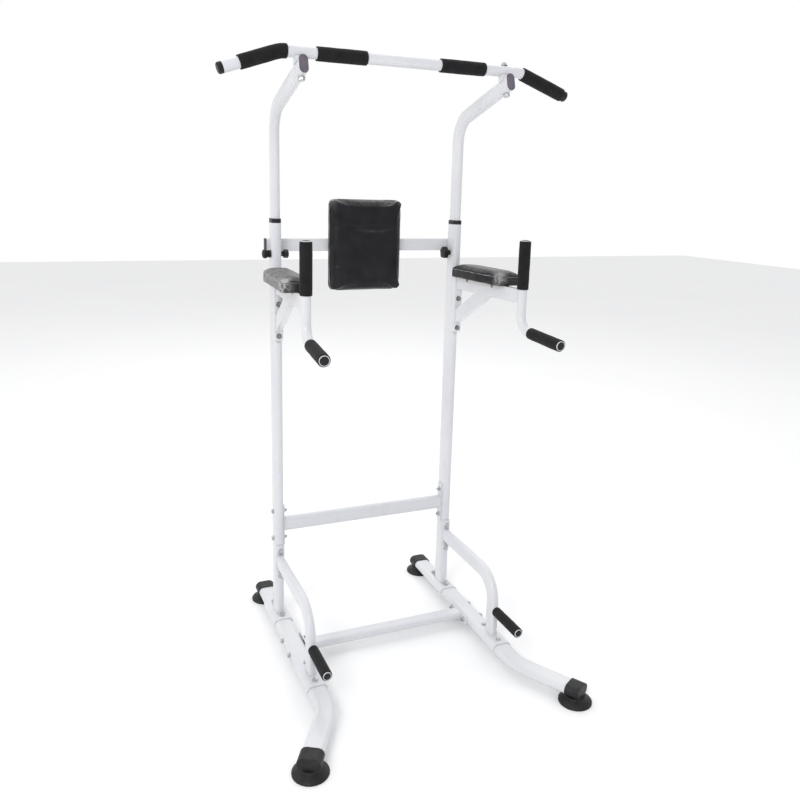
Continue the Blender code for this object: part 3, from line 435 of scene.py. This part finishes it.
# ---- refined copies of the hard CAD pieces ------------------------------------------------------
def refined(node, round_edges):
    """Stands for a CAD node: its facets shaded as round surfaces, its edges broken if asked."""
    mesh = NODES[node].data.copy()
    slot = SLOT_OF[node]
    obj = new_object(node + "_detail", mesh, BODY_OF[node], SLOT_MATERIAL[slot])
    shell = bmesh.new()
    shell.from_mesh(mesh)
    bmesh.ops.remove_doubles(shell, verts=shell.verts, dist=MERGE_DISTANCE)
    bmesh.ops.dissolve_limit(shell, angle_limit=math.radians(0.5), verts=shell.verts, edges=shell.edges)
    shell.to_mesh(mesh)
    shell.free()
    smooth(mesh, SHARP_ANGLE)
    if round_edges:
        bevel = obj.modifiers.new("edges", "BEVEL")
        bevel.width = round_edges
        bevel.segments = 3
        bevel.limit_method = "ANGLE"
        bevel.angle_limit = math.radians(SHARP_ANGLE)
    normals = obj.modifiers.new("normals", "WEIGHTED_NORMAL")
    normals.keep_sharp = True
    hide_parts(node)


def refine_pieces():
    rounded_slots = {"rubber": 0.0012, "plastic": 0.0006, "smoke_plastic": 0.0008}
    for node, slot in SLOT_OF.items():
        if slot not in ("foam", "vinyl"):
            refined(node, rounded_slots.get(slot, 0.0))


# ---- foam grips ---------------------------------------------------------------------------------
def soften_foam(node, seed):
    """A foam sleeve with rounded ends and a slightly uneven skin."""
    mesh = NODES[node].data.copy()
    obj = new_object(node + "_foam", mesh, BODY_OF[node], FOAM)
    shell = bmesh.new()
    shell.from_mesh(mesh)
    bmesh.ops.remove_doubles(shell, verts=shell.verts, dist=MERGE_DISTANCE)
    steep = math.radians(60)
    rims = [edge for edge in shell.edges if edge.is_manifold and edge.calc_face_angle(0) > steep]
    bmesh.ops.bevel(shell, geom=rims, offset=FOAM_EDGE, segments=3, profile=0.6, affect="EDGES")
    shell.to_mesh(mesh)
    shell.free()
    cut_long_faces(mesh, 0.008)
    surface = obj.modifiers.new("surface", "SUBSURF")
    surface.levels = 2
    surface.render_levels = 2
    fine = evaluated_mesh(obj)
    obj.modifiers.clear()
    obj.data = fine
    normals = [vertex.normal.copy() for vertex in fine.vertices]
    for vertex, normal in zip(fine.vertices, normals):
        wave = noise.fractal(vertex.co * 42 + Vector((seed, 0, 0)), 0.8, 2.0, 3)
        vertex.co += normal * (FOAM_UNEVENNESS + FOAM_UNEVENNESS * wave)
    fine.shade_smooth()
    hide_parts(node)


def cut_long_faces(mesh, longest):
    """Splits long edges, so that a subdivided tube keeps its shape and can carry fine detail."""
    shell = bmesh.new()
    shell.from_mesh(mesh)
    long_edges = [edge for edge in shell.edges if edge.calc_length() > longest]
    if long_edges:
        bmesh.ops.subdivide_edges(shell, edges=long_edges, cuts=3, use_grid_fill=True)
    shell.to_mesh(mesh)
    shell.free()


def build_grips():
    for seed, node in enumerate(sorted(name for name in NODES if name.endswith("_grip"))):
        soften_foam(node, seed * 3.7)


# ---- cushions -----------------------------------------------------------------------------------
def corners_of(points):
    """The lowest and highest corner of the box round some points."""
    low = Vector([min(point[axis] for point in points) for axis in range(3)])
    high = Vector([max(point[axis] for point in points) for axis in range(3)])
    return low, high


class Pad:
    """A cushion's own axes: x across, y along and z out of the padded face, from its flat back."""

    def __init__(self, node, turn, film_glare, side_share):
        low, high = corners_of([turn.inverted() @ vertex.co for vertex in NODES[node].data.vertices])
        self.node = node
        self.size = high - low
        self.half = self.size / 2
        middle = (low + high) / 2
        self.place = turn @ Matrix.Translation((middle.x, middle.y, low.z))
        self.inverse = self.place.inverted()
        self.film_glare = film_glare
        self.side_share = side_share

    def move(self, mesh, change):
        """Replaces every vertex by what change gives for its place on the pad's own axes."""
        for vertex in mesh.vertices:
            vertex.co = self.place @ change(self.inverse @ vertex.co)
        mesh.update()


def build_cushion(pad, seed, creases=()):
    """A vinyl cover swollen over its foam by a short cloth run, then fitted to the CAD's box."""
    name = pad.node + "_cushion"
    obj = new_object(name, NODES[pad.node].data.copy(), BODY_OF[pad.node], VINYL)
    remesh = obj.modifiers.new("remesh", "REMESH")
    remesh.mode = "VOXEL"
    remesh.voxel_size = COVER_VOXEL
    obj.data = applied(obj)
    narrow, short = COVER_START
    pad.move(obj.data, lambda p: Vector((p.x * narrow, p.y * short, p.z * pad.side_share)))
    before = [vertex.co.copy() for vertex in obj.data.vertices]
    inflate(obj, pad)
    limit_swelling(obj.data, before, MOST_SWELLING)
    surface = obj.modifiers.new("surface", "SUBSURF")
    surface.levels = 1
    surface.render_levels = 1
    obj.data = applied(obj)
    crown_face(obj.data, pad)
    wrinkle_cover(obj.data, pad, seed, creases)
    fit_to_pad(obj.data, pad)
    paint_film_glare(obj.data, pad)
    obj.data.shade_smooth()
    obj.data.materials.clear()
    obj.data.materials.append(VINYL)
    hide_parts(pad.node)
    return obj


def applied(obj):
    mesh = evaluated_mesh(obj)
    obj.modifiers.clear()
    return mesh


def inflate(obj, pad):
    held = obj.vertex_groups.new(name="held")
    for vertex in obj.data.vertices:
        height = (pad.inverse @ vertex.co).z / pad.size.z
        if height < 0.2:
            held.add([vertex.index], 1.0, "REPLACE")
        elif height < 0.4:
            held.add([vertex.index], 0.3, "REPLACE")
    cloth = obj.modifiers.new("cloth", "CLOTH")
    settings = cloth.settings
    settings.use_pressure = True
    settings.uniform_pressure_force = 4.0
    settings.quality = 6
    settings.mass = 0.35
    settings.tension_stiffness = 22
    settings.compression_stiffness = 22
    settings.bending_stiffness = 3.0
    settings.effector_weights.gravity = 0
    settings.vertex_group_mass = "held"
    cloth.point_cache.frame_start = 1
    cloth.point_cache.frame_end = CLOTH_FRAMES
    for step in range(1, CLOTH_FRAMES + 1):
        bpy.context.scene.frame_set(step)
    obj.data = applied(obj)
    bpy.context.scene.frame_set(1)


def limit_swelling(mesh, before, most):
    for vertex, start in zip(mesh.vertices, before):
        shift = vertex.co - start
        if shift.length > most:
            vertex.co = start + shift.normalized() * most


def crown_face(mesh, pad):
    """Raises the middle of the face over its edges."""
    rise = pad.size.z * (1 - pad.side_share)

    def change(p):
        across = max(0.0, 1 - (p.x / pad.half.x) ** 4)
        along = max(0.0, 1 - (p.y / pad.half.y) ** 8)
        share = min(1.0, max(0.0, p.z / (pad.size.z * pad.side_share)))
        return Vector((p.x, p.y, p.z + rise * share * math.sqrt(across * along)))

    pad.move(mesh, change)


def wrinkle_cover(mesh, pad, seed, creases):
    """Small pleats at the corners, an uneven skin and any furrow across the face."""
    normals = [vertex.normal.copy() for vertex in mesh.vertices]
    for vertex, normal in zip(mesh.vertices, normals):
        local = pad.inverse @ vertex.co
        inset_x = pad.half.x - abs(local.x)
        inset_y = pad.half.y - abs(local.y)
        cornered = max(0.0, 1 - math.hypot(inset_x, inset_y) / PLEAT_REACH)
        angle = math.atan2(inset_y + 0.004, inset_x + 0.004)
        pleat = math.sin(angle * 13 + seed) * cornered * COVER_UNEVENNESS
        wave = noise.fractal(vertex.co * 30 + Vector((seed, seed, 0)), 0.9, 2.1, 4)
        skin = wave * COVER_UNEVENNESS
        face = max(0.0, min(1.0, (local.z / pad.size.z - 0.55) * 3))
        furrow = sum(crease(local) for crease in creases) * face
        vertex.co += normal * (pleat + skin + furrow)


def fit_to_pad(mesh, pad):
    """Scales the cover back to the size that the CAD gives the pad."""
    low, high = corners_of([pad.inverse @ vertex.co for vertex in mesh.vertices])
    scale = [pad.size[axis] / (high[axis] - low[axis]) for axis in range(3)]
    start = (-pad.half.x, -pad.half.y, 0.0)
    pad.move(mesh, lambda p: Vector([start[k] + (p[k] - low[k]) * scale[k] for k in range(3)]))


def paint_film_glare(mesh, pad):
    """Writes how much painted reflection of the clear wrap shows on each part of the cover, from 0 to
    1.
    """
    film_glare = mesh.attributes.new("film_glare", "FLOAT", "POINT")
    turn = pad.place.to_3x3().inverted()
    for index, vertex in enumerate(mesh.vertices):
        local = pad.inverse @ vertex.co
        amount = pad.film_glare(local, turn @ vertex.normal, pad)
        film_glare.data[index].value = max(0.0, min(1.0, amount))


def near_corner(local, corner, reach):
    return max(0.0, 1 - (local - Vector(corner)).length / reach)


def backrest_glare(local, normal, pad):
    # Painted highlights: glints at the top corners, a bright line along the main crease's ridge, and
    # lighter top and left faces.
    corners = [(side * pad.half.x, pad.half.y, pad.size.z * 0.7) for _, side in SIDES]
    glint = max(near_corner(local, corner, 0.030) for corner in corners)
    fold = arc_crease(*BACKREST_FOLD, 1.0)(local)
    lit_edge = 0.55 * max(0.0, normal.y) ** 2 + 0.04 * max(0.0, -normal.x)
    return lit_edge + 0.9 * glint + 0.3 * max(0.0, fold)


def arm_glare(outer_side):
    """Painted reflection of the clear wrap: strong on the left pad's outer face, lighter on the tops,
    with bright painted glints at each pad's front corner.
    """
    def amount(local, normal, pad):
        top = max(0.0, normal.z) ** 2 * (0.52 if outer_side < 0 else 0.26)
        left = max(0.0, -normal.x) ** 2 * (0.72 if outer_side < 0 else 0.03)
        front = max(0.0, -normal.y) ** 2 * 0.12
        corner_glints = near_corner(local, (-pad.half.x, -pad.half.y, pad.size.z * 0.6), 0.042)
        return top + left + front + 1.1 * corner_glints
    return amount


def arc_crease(centre_x, centre_y, bend, half_length, depth):
    """A shallow curved furrow with a ridge above it, across the face."""
    def depth_at(local):
        across = (local.x - centre_x) / half_length
        if abs(across) > 1:
            return 0.0
        fade = math.cos(across * math.pi / 2)
        distance = (local.y - centre_y - bend * across ** 2) / CREASE_WIDTH
        ridge = 0.6 * math.exp(-((distance - 1.6) ** 2))
        return depth * fade * (ridge - math.exp(-distance * distance))
    return depth_at


def trace_seam(obj, pad, share, radius):
    """A thin piping that follows the cover's edge at one height."""
    graph = bpy.context.evaluated_depsgraph_get()
    tree = BVHTree.FromObject(obj, graph)
    corner = 0.016
    stand_off = 0.03
    points = []
    step = 0.004
    outline = rounded_outline(pad.half.x, pad.half.y, corner, step)
    for index, (point, outward) in enumerate(outline):
        height = pad.size.z * share + 0.0006 * math.sin(index * 0.37)
        aside = (point.x + outward.x * stand_off, point.y + outward.y * stand_off)
        start = pad.place @ Vector((*aside, height))
        inward = pad.place.to_3x3() @ Vector((-outward.x, -outward.y, 0))
        hit = tree.ray_cast(start, inward)[0]
        if hit is not None:
            points.append(hit + inward * radius * 0.35)
    name = f"{pad.node}_piping"
    mesh = tube_mesh(name, points, True, radius, lambda index, place: 1.0)
    return new_object(name, mesh, BODY_OF[pad.node], PIPING)


def rounded_outline(half_x, half_y, corner, step):
    """Points and outward directions round a rectangle with rounded corners."""
    pairs = []
    for turn, (sign_x, sign_y) in enumerate(((1, 1), (-1, 1), (-1, -1), (1, -1))):
        centre = Vector((sign_x * (half_x - corner), sign_y * (half_y - corner)))
        for index in range(9):
            angle = math.radians(90 * turn + 90 * index / 8)
            outward = Vector((math.cos(angle), math.sin(angle)))
            pairs.append((centre + outward * corner, outward))
    closed = []
    for first, second in zip(pairs, pairs[1:] + pairs[:1]):
        count = max(1, round((second[0] - first[0]).length / step))
        closed += [(first[0].lerp(second[0], k / count), first[1]) for k in range(count)]
    return closed


def build_cushions():
    creases = (
        arc_crease(*BACKREST_FOLD, 0.0018),
        arc_crease(-0.020, 0.058, 0.010, 0.070, 0.0010),
    )
    upright = Matrix.Rotation(math.pi / 2, 4, "X")
    pad = Pad("backrest_pad", upright, backrest_glare, side_share=0.82)
    trace_seam(build_cushion(pad, 1.0, creases), pad, share=0.30, radius=0.0012)
    for label, side in SIDES:
        turn = Matrix.Rotation(side * ARM_SPLAY, 4, "Z")
        pad = Pad(label + "_arm_pad", turn, arm_glare(side), side_share=0.72)
        trace_seam(build_cushion(pad, 2.0 + side), pad, share=0.60, radius=0.0011)


# ---- fasteners ----------------------------------------------------------------------------------
def lathe(shell, profile, segments=24):
    """Adds a closed turned body, from (radius, height) points that run top to bottom."""
    rings = []
    for radius, height in profile:
        if radius < 1e-6:
            rings.append([shell.verts.new((0, 0, height))])
            continue
        ring = []
        for index in range(segments):
            angle = 2 * math.pi * index / segments
            ring.append(shell.verts.new((radius * math.cos(angle), radius * math.sin(angle), height)))
        rings.append(ring)
    for upper, lower in zip(rings, rings[1:]):
        for index in range(segments):
            after = (index + 1) % segments
            face = (
                upper[index % len(upper)], lower[index % len(lower)],
                lower[after % len(lower)], upper[after % len(upper)],
            )
            unique = list(dict.fromkeys(face))
            if len(unique) > 2:
                shell.faces.new(unique)


def hexagon(shell, radius, bottom, top):
    """Adds a hexagonal body whose upper and lower corners are turned off."""
    sides = 48
    rings = []
    levels = ((0.86, bottom), (1.0, bottom + radius * 0.10), (1.0, top - radius * 0.12), (0.86, top))
    for trim, height in levels:
        ring = []
        for index in range(sides):
            angle = 2 * math.pi * index / sides
            within = (angle + math.pi / 6) % (math.pi / 3) - math.pi / 6
            flat = radius * math.cos(math.pi / 6) / math.cos(within)
            reach = min(flat, radius * (trim + 0.02)) if trim < 1 else flat
            ring.append(shell.verts.new((reach * math.cos(angle), reach * math.sin(angle), height)))
        rings.append(ring)
    for lower, upper in zip(rings, rings[1:]):
        for index in range(sides):
            after = (index + 1) % sides
            shell.faces.new((lower[index], lower[after], upper[after], upper[index]))
    shell.faces.new(reversed(rings[0]))
    shell.faces.new(rings[-1])


def washer_profile(inner, outer, thick):
    edge = thick * 0.3
    return (
        (inner, thick), (outer - edge, thick), (outer, thick - edge), (outer, edge), (outer - edge, 0),
        (inner, 0), (inner, thick),
    )


def finished(name, shell):
    """Turns a fastener's built faces into a mesh with sharp edges kept."""
    bmesh.ops.recalc_face_normals(shell, faces=shell.faces)
    mesh = bpy.data.meshes.new(name)
    shell.to_mesh(mesh)
    shell.free()
    smooth(mesh, 30)
    return mesh


def bolt_mesh(name, shank, head, with_nut_thread):
    """A hex head or a nut on a washer; a nut also shows the threaded end of the bolt."""
    shell = bmesh.new()
    thick = shank * 0.28
    lathe(shell, washer_profile(shank * 0.9, head * 1.18, thick))
    height = shank * 1.35
    hexagon(shell, head, thick, thick + height)
    if with_nut_thread:
        lathe(shell, thread_profile(shank, thick + height, shank * 1.1))
    else:
        lathe(shell, (
            (0, thick + height + shank * 0.06), (head * 0.55, thick + height + shank * 0.05),
            (head * 0.62, thick + height - 0.0001), (0, thick + height - 0.0001),
        ))
    return finished(name, shell)


def thread_profile(radius, bottom, length):
    """The end of a threaded bolt: turned grooves under a chamfered tip."""
    points = [(0, bottom + length), (radius * 0.78, bottom + length)]
    turns = 5
    for index in range(turns):
        top = bottom + length * (1 - (index + 0.4) / (turns + 0.4))
        points.append((radius, top))
        points.append((radius * 0.86, top - length * 0.5 / (turns + 0.4)))
    points.append((radius * 0.86, bottom))
    points.append((0, bottom))
    return points


def pan_screw_mesh(name, head):
    """A low domed screw head with a plain round recess."""
    shell = bmesh.new()
    lathe(shell, (
        (0, head * 0.30), (head * 0.20, head * 0.30), (head * 0.24, head * 0.46),
        (head * 0.55, head * 0.44), (head * 0.88, head * 0.28), (head, head * 0.06),
        (head * 0.98, 0), (0, 0),
    ))
    return finished(name, shell)


BOLT_HEAD = bolt_mesh("hex_bolt", 0.004, 0.0075, False)
BOLT_NUT = bolt_mesh("hex_nut", 0.004, 0.0075, True)
PAN_SCREW = pan_screw_mesh("pan_screw", 0.0058)


def fasten(name, mesh, location, direction, material, turn=0.0):
    place = facing(location, direction) @ Matrix.Rotation(turn, 4, "Z")
    return new_object(name, mesh.copy(), "frame", material, place)


def build_saddle_bolts():
    """Two bolts through each saddle and rail, with nuts underneath."""
    for label, side in SIDES:
        x = side * SLEEVE_X
        for kind, middle, half in SADDLE_BOLTS:
            for end, step in (("front", -half), ("rear", half)):
                name = f"{label}_{kind}_{end}_saddle"
                top = (x, middle + step, SADDLE_TOP)
                fasten(name + "_bolt", BOLT_HEAD, top, (0, 0, 1), ZINC, 0.3 * side + step * 9)
                below = (x, middle + step, RAIL_LOW.z)
                fasten(name + "_nut", BOLT_NUT, below, (0, 0, -1), ZINC, 0.5)


def fasten_flange(name, side, inner, outer, y, z, nut_turn, bolt_turn):
    """A bolt from outside through a cross beam's end plate, with its nut on the inner face."""
    fasten(name + "_nut", BOLT_NUT, (inner * side, y, z), (-side, 0, 0), ZINC, nut_turn)
    fasten(name + "_bolt", BOLT_HEAD, (side * outer, y, z), (side, 0, 0), ZINC, bolt_turn)


def build_flange_bolts():
    sleeve_face = SLEEVE_X + SLEEVE_HALF_WIDTH
    rail_face = SLEEVE_X + RAIL_HALF_WIDTH
    for label, side in SIDES:
        for end, step in (("lower", -BEAM_BOLT_STEP), ("upper", BEAM_BOLT_STEP)):
            name = f"{label}_{end}_beam"
            fasten_flange(name, side, BEAM_FLANGE_X, sleeve_face, SLEEVE_Y, BEAM_Z + step, 0.2, 0.4)
        for end, step in (("front", -BASE_BOLT_STEP), ("rear", BASE_BOLT_STEP)):
            name = f"{label}_{end}_base"
            fasten_flange(name, side, BASE_FLANGE_X, rail_face, BASE_Y + step, RAIL_Z, 0.7, 0.1)


def build_clip_bolts():
    for label, side in SIDES:
        clip_front = SLEEVE_Y - SLEEVE_HALF_DEPTH - TOUCH - PLATE
        for end, z in BRACE_BOLT_HEIGHTS:
            where = (side * SLEEVE_X, clip_front, z)
            fasten(f"{label}_brace_clip_{end}_bolt", BOLT_HEAD, where, (0, -1, 0), ZINC, 0.3)
        place = arm_frame(side)
        ahead = place.to_3x3() @ Vector((0, -1, 0))
        for end, z in ARM_BOLT_HEIGHTS:
            where = place @ Vector((0, -ARM_POST_REACH, z))
            fasten(f"{label}_arm_{end}_bolt", BOLT_HEAD, where, ahead, DARK_ZINC, 0.25)
        build_pad_screws(label, side, place)


def build_pad_screws(label, side, place):
    """Screws through both sides of the dip arm, under the pad's front and rear."""
    pad_low, pad_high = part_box(label + "_arm_pad")
    for end, share in PAD_SCREW_SHARES:
        reach = ARM_PIVOT_Y - (pad_low.y + (pad_high.y - pad_low.y) * share)
        for face in (-1, 1):
            where = place @ Vector((face * ARM_HALF_WIDTH, -reach, ARM_TOP - PAD_SCREW_DROP))
            outward = place.to_3x3() @ Vector((face, 0, 0))
            name = f"{label}_pad_{end}_screw_{'inner' if face != side else 'outer'}"
            fasten(name, PAN_SCREW, where, outward, DARK_ZINC)


def build_backrest_bolts():
    low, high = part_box("backrest_beam")
    z = (low.z + high.z) / 2
    for index, x in enumerate((-SLEEVE_X, -BACKREST_BOLT_X, BACKREST_BOLT_X, SLEEVE_X)):
        fasten(f"backrest_bolt_{index}", BOLT_HEAD, (x, high.y, z), (0, 1, 0), ZINC, 0.35)


# ---- welds --------------------------------------------------------------------------------------
def tube_mesh(name, points, cyclic, radius, swell):
    """A round cord along points; swell gives its relative thickness at each one."""
    curve = bpy.data.curves.new(name, "CURVE")
    curve.dimensions = "3D"
    curve.bevel_depth = radius
    curve.bevel_resolution = 2
    curve.use_fill_caps = True
    spline = curve.splines.new("POLY")
    spline.points.add(len(points) - 1)
    spline.use_cyclic_u = cyclic
    for index, (point, place) in enumerate(zip(spline.points, points)):
        point.co = (*place, 1)
        point.radius = swell(index, place)
    obj = bpy.data.objects.new(name, curve)
    bpy.context.scene.collection.objects.link(obj)
    mesh = evaluated_mesh(obj)
    bpy.data.objects.remove(obj)
    smooth(mesh, 60)
    return mesh


def ripple(index, place):
    return 0.85 + 0.22 * math.sin(index * 1.9) + 0.12 * noise.noise(place * 300)


def bead(name, points, cyclic, radius, body):
    """A rippled weld bead along a line."""
    mesh = tube_mesh(name, resample(points, cyclic, radius * 0.8), cyclic, radius, ripple)
    return new_object(name, mesh, body, WELD)


def resample(points, cyclic, step):
    """Evenly spaced points along a line."""
    points = [Vector(point) for point in points]
    if cyclic:
        points.append(points[0])
    fine = []
    for start, end in zip(points, points[1:]):
        count = max(1, round((end - start).length / step))
        fine += [start.lerp(end, index / count) for index in range(count)]
    if not cyclic:
        fine.append(points[-1])
    return fine


def oval_loop(centre, long_axis, short_axis, long, short, steps=10):
    """Points round a flat-oval section."""
    centre = Vector(centre)
    long_axis = Vector(long_axis)
    short_axis = Vector(short_axis)
    radius = short / 2
    core = (long - short) / 2
    points = []
    for end, start in ((1, -90), (-1, 90)):
        for index in range(steps + 1):
            angle = math.radians(start + 180 * index / steps)
            along = end * core + radius * math.cos(angle)
            points.append(centre + long_axis * along + short_axis * radius * math.sin(angle))
    return points


def ring_bead(name, centre, long_axis, short_axis, radius, size=(TUBE_LONG, TUBE_SHORT)):
    """A bead all round a flat-oval tube's end."""
    bead(name, oval_loop(centre, long_axis, short_axis, *size), True, radius, "frame")


def build_welds():
    along_x, along_y, along_z = (1, 0, 0), (0, 1, 0), (0, 0, 1)
    sleeve_size = (2 * SLEEVE_HALF_DEPTH, 2 * SLEEVE_HALF_WIDTH)
    for label, side in SIDES:
        foot = (side * SLEEVE_X, SLEEVE_Y, SADDLE_TOP)
        ring_bead(label + "_upright_weld", foot, along_y, along_x, FOOT_BEAD, sleeve_size)
        foot = (side * SLEEVE_X, BRACE_Y, SADDLE_TOP)
        ring_bead(label + "_brace_weld", foot, along_y, along_x, FOOT_BEAD)
        end = (BEAM_FLANGE_X * side, SLEEVE_Y, BEAM_Z)
        ring_bead(label + "_lower_beam_weld", end, along_z, along_y, BEAM_BEAD)
        end = (BASE_FLANGE_X * side, BASE_Y, RAIL_Z)
        ring_bead(label + "_base_beam_weld", end, along_y, along_z, BEAM_BEAD)
        build_arm_welds(label, side)


def build_arm_welds(label, side):
    """Upright beads on both sides of the arm, at its post and at the handle tube."""
    place = arm_frame(side)
    bottom = ARM_TOP - ARM_DEPTH
    ends = (
        ("arm_root_weld", ARM_POST_REACH, 0.001, BEAM_BEAD),
        ("handle_weld", ARM_TO_HANDLE, 0.002, HANDLE_BEAD),
    )
    for face in (-1, 1):
        where = "inner" if face != side else "outer"
        x = face * ARM_HALF_WIDTH
        for name, reach, setback, radius in ends:
            line = [place @ Vector((x, -reach, z)) for z in (ARM_TOP - setback, bottom)]
            bead(f"{label}_{name}_{where}", line, False, radius, "frame")


# ---- studio -------------------------------------------------------------------------------------
def build_studio():
    mesh = bpy.data.meshes.new("studio_floor")
    shell = bmesh.new()
    bmesh.ops.create_grid(shell, x_segments=8, y_segments=8, size=14)
    shell.to_mesh(mesh)
    shell.free()
    floor = bpy.data.objects.new("studio_floor", mesh)
    bpy.context.scene.collection.objects.link(floor)
    floor.location.z = -0.0002
    mesh.materials.append(studio_floor())
    world = bpy.data.worlds.new("studio")
    bpy.context.scene.world = world
    world.use_nodes = True
    background = world.node_tree.nodes["Background"]
    background.inputs["Strength"].default_value = 1.0
    light_room(world.node_tree, background)
    area_light("key", (-2.4, -2.8, 2.9), (0, 0, 0.9), 1.3, 60)
    area_light("top", (0.8, 2.6, 4.2), (0, 0.8, 0.4), 5.0, 55)
    bpy.context.scene.view_settings.view_transform = "Standard"


def light_room(tree, background):
    """White in front of the camera and on both sides, a little dimmer on the side it stands on."""
    place = tree.nodes.new("ShaderNodeTexCoord")
    split = tree.nodes.new("ShaderNodeSeparateXYZ")
    ramp = tree.nodes.new("ShaderNodeValToRGB")
    shift = tree.nodes.new("ShaderNodeMapRange")
    shift.inputs["From Min"].default_value = -0.8
    shift.inputs["From Max"].default_value = 0.3
    ramp.color_ramp.elements[0].color = (0.62, 0.63, 0.65, 1)
    ramp.color_ramp.elements[1].color = (1.0, 1.0, 1.0, 1)
    tree.links.new(place.outputs["Generated"], split.inputs["Vector"])
    tree.links.new(split.outputs["Y"], shift.inputs["Value"])
    tree.links.new(shift.outputs["Result"], ramp.inputs["Fac"])
    tree.links.new(ramp.outputs["Color"], background.inputs["Color"])


def area_light(name, location, target, size, power):
    """A square light that faces its target."""
    light = bpy.data.lights.new(name, "AREA")
    light.size = size
    light.energy = power
    obj = bpy.data.objects.new(name, light)
    bpy.context.scene.collection.objects.link(obj)
    obj.matrix_world = facing(location, Vector(location) - Vector(target))


def build_camera():
    """Eye height, to the left of the tower, looking slightly down; the lens is shifted a little."""
    data = bpy.data.cameras.new("camera")
    data.sensor_width = 36
    data.lens = 35.13
    data.shift_y = -0.04125
    camera = bpy.data.objects.new("camera", data)
    bpy.context.scene.collection.objects.link(camera)
    eye = Matrix.Translation((-0.9078, -2.1357, 1.477))
    heading = Matrix.Rotation(math.radians(-23.20), 4, "Z")
    pitch = Matrix.Rotation(math.radians(90 - 12.745), 4, "X")
    roll = Matrix.Rotation(math.radians(1.5), 4, "Z")
    camera.matrix_world = eye @ heading @ pitch @ roll
    bpy.context.scene.camera = camera


build_camera()
build_studio()
dress_cad_nodes()
refine_pieces()
build_grips()
build_cushions()
build_saddle_bolts()
build_flange_bolts()
build_clip_bolts()
build_backrest_bolts()
build_welds()
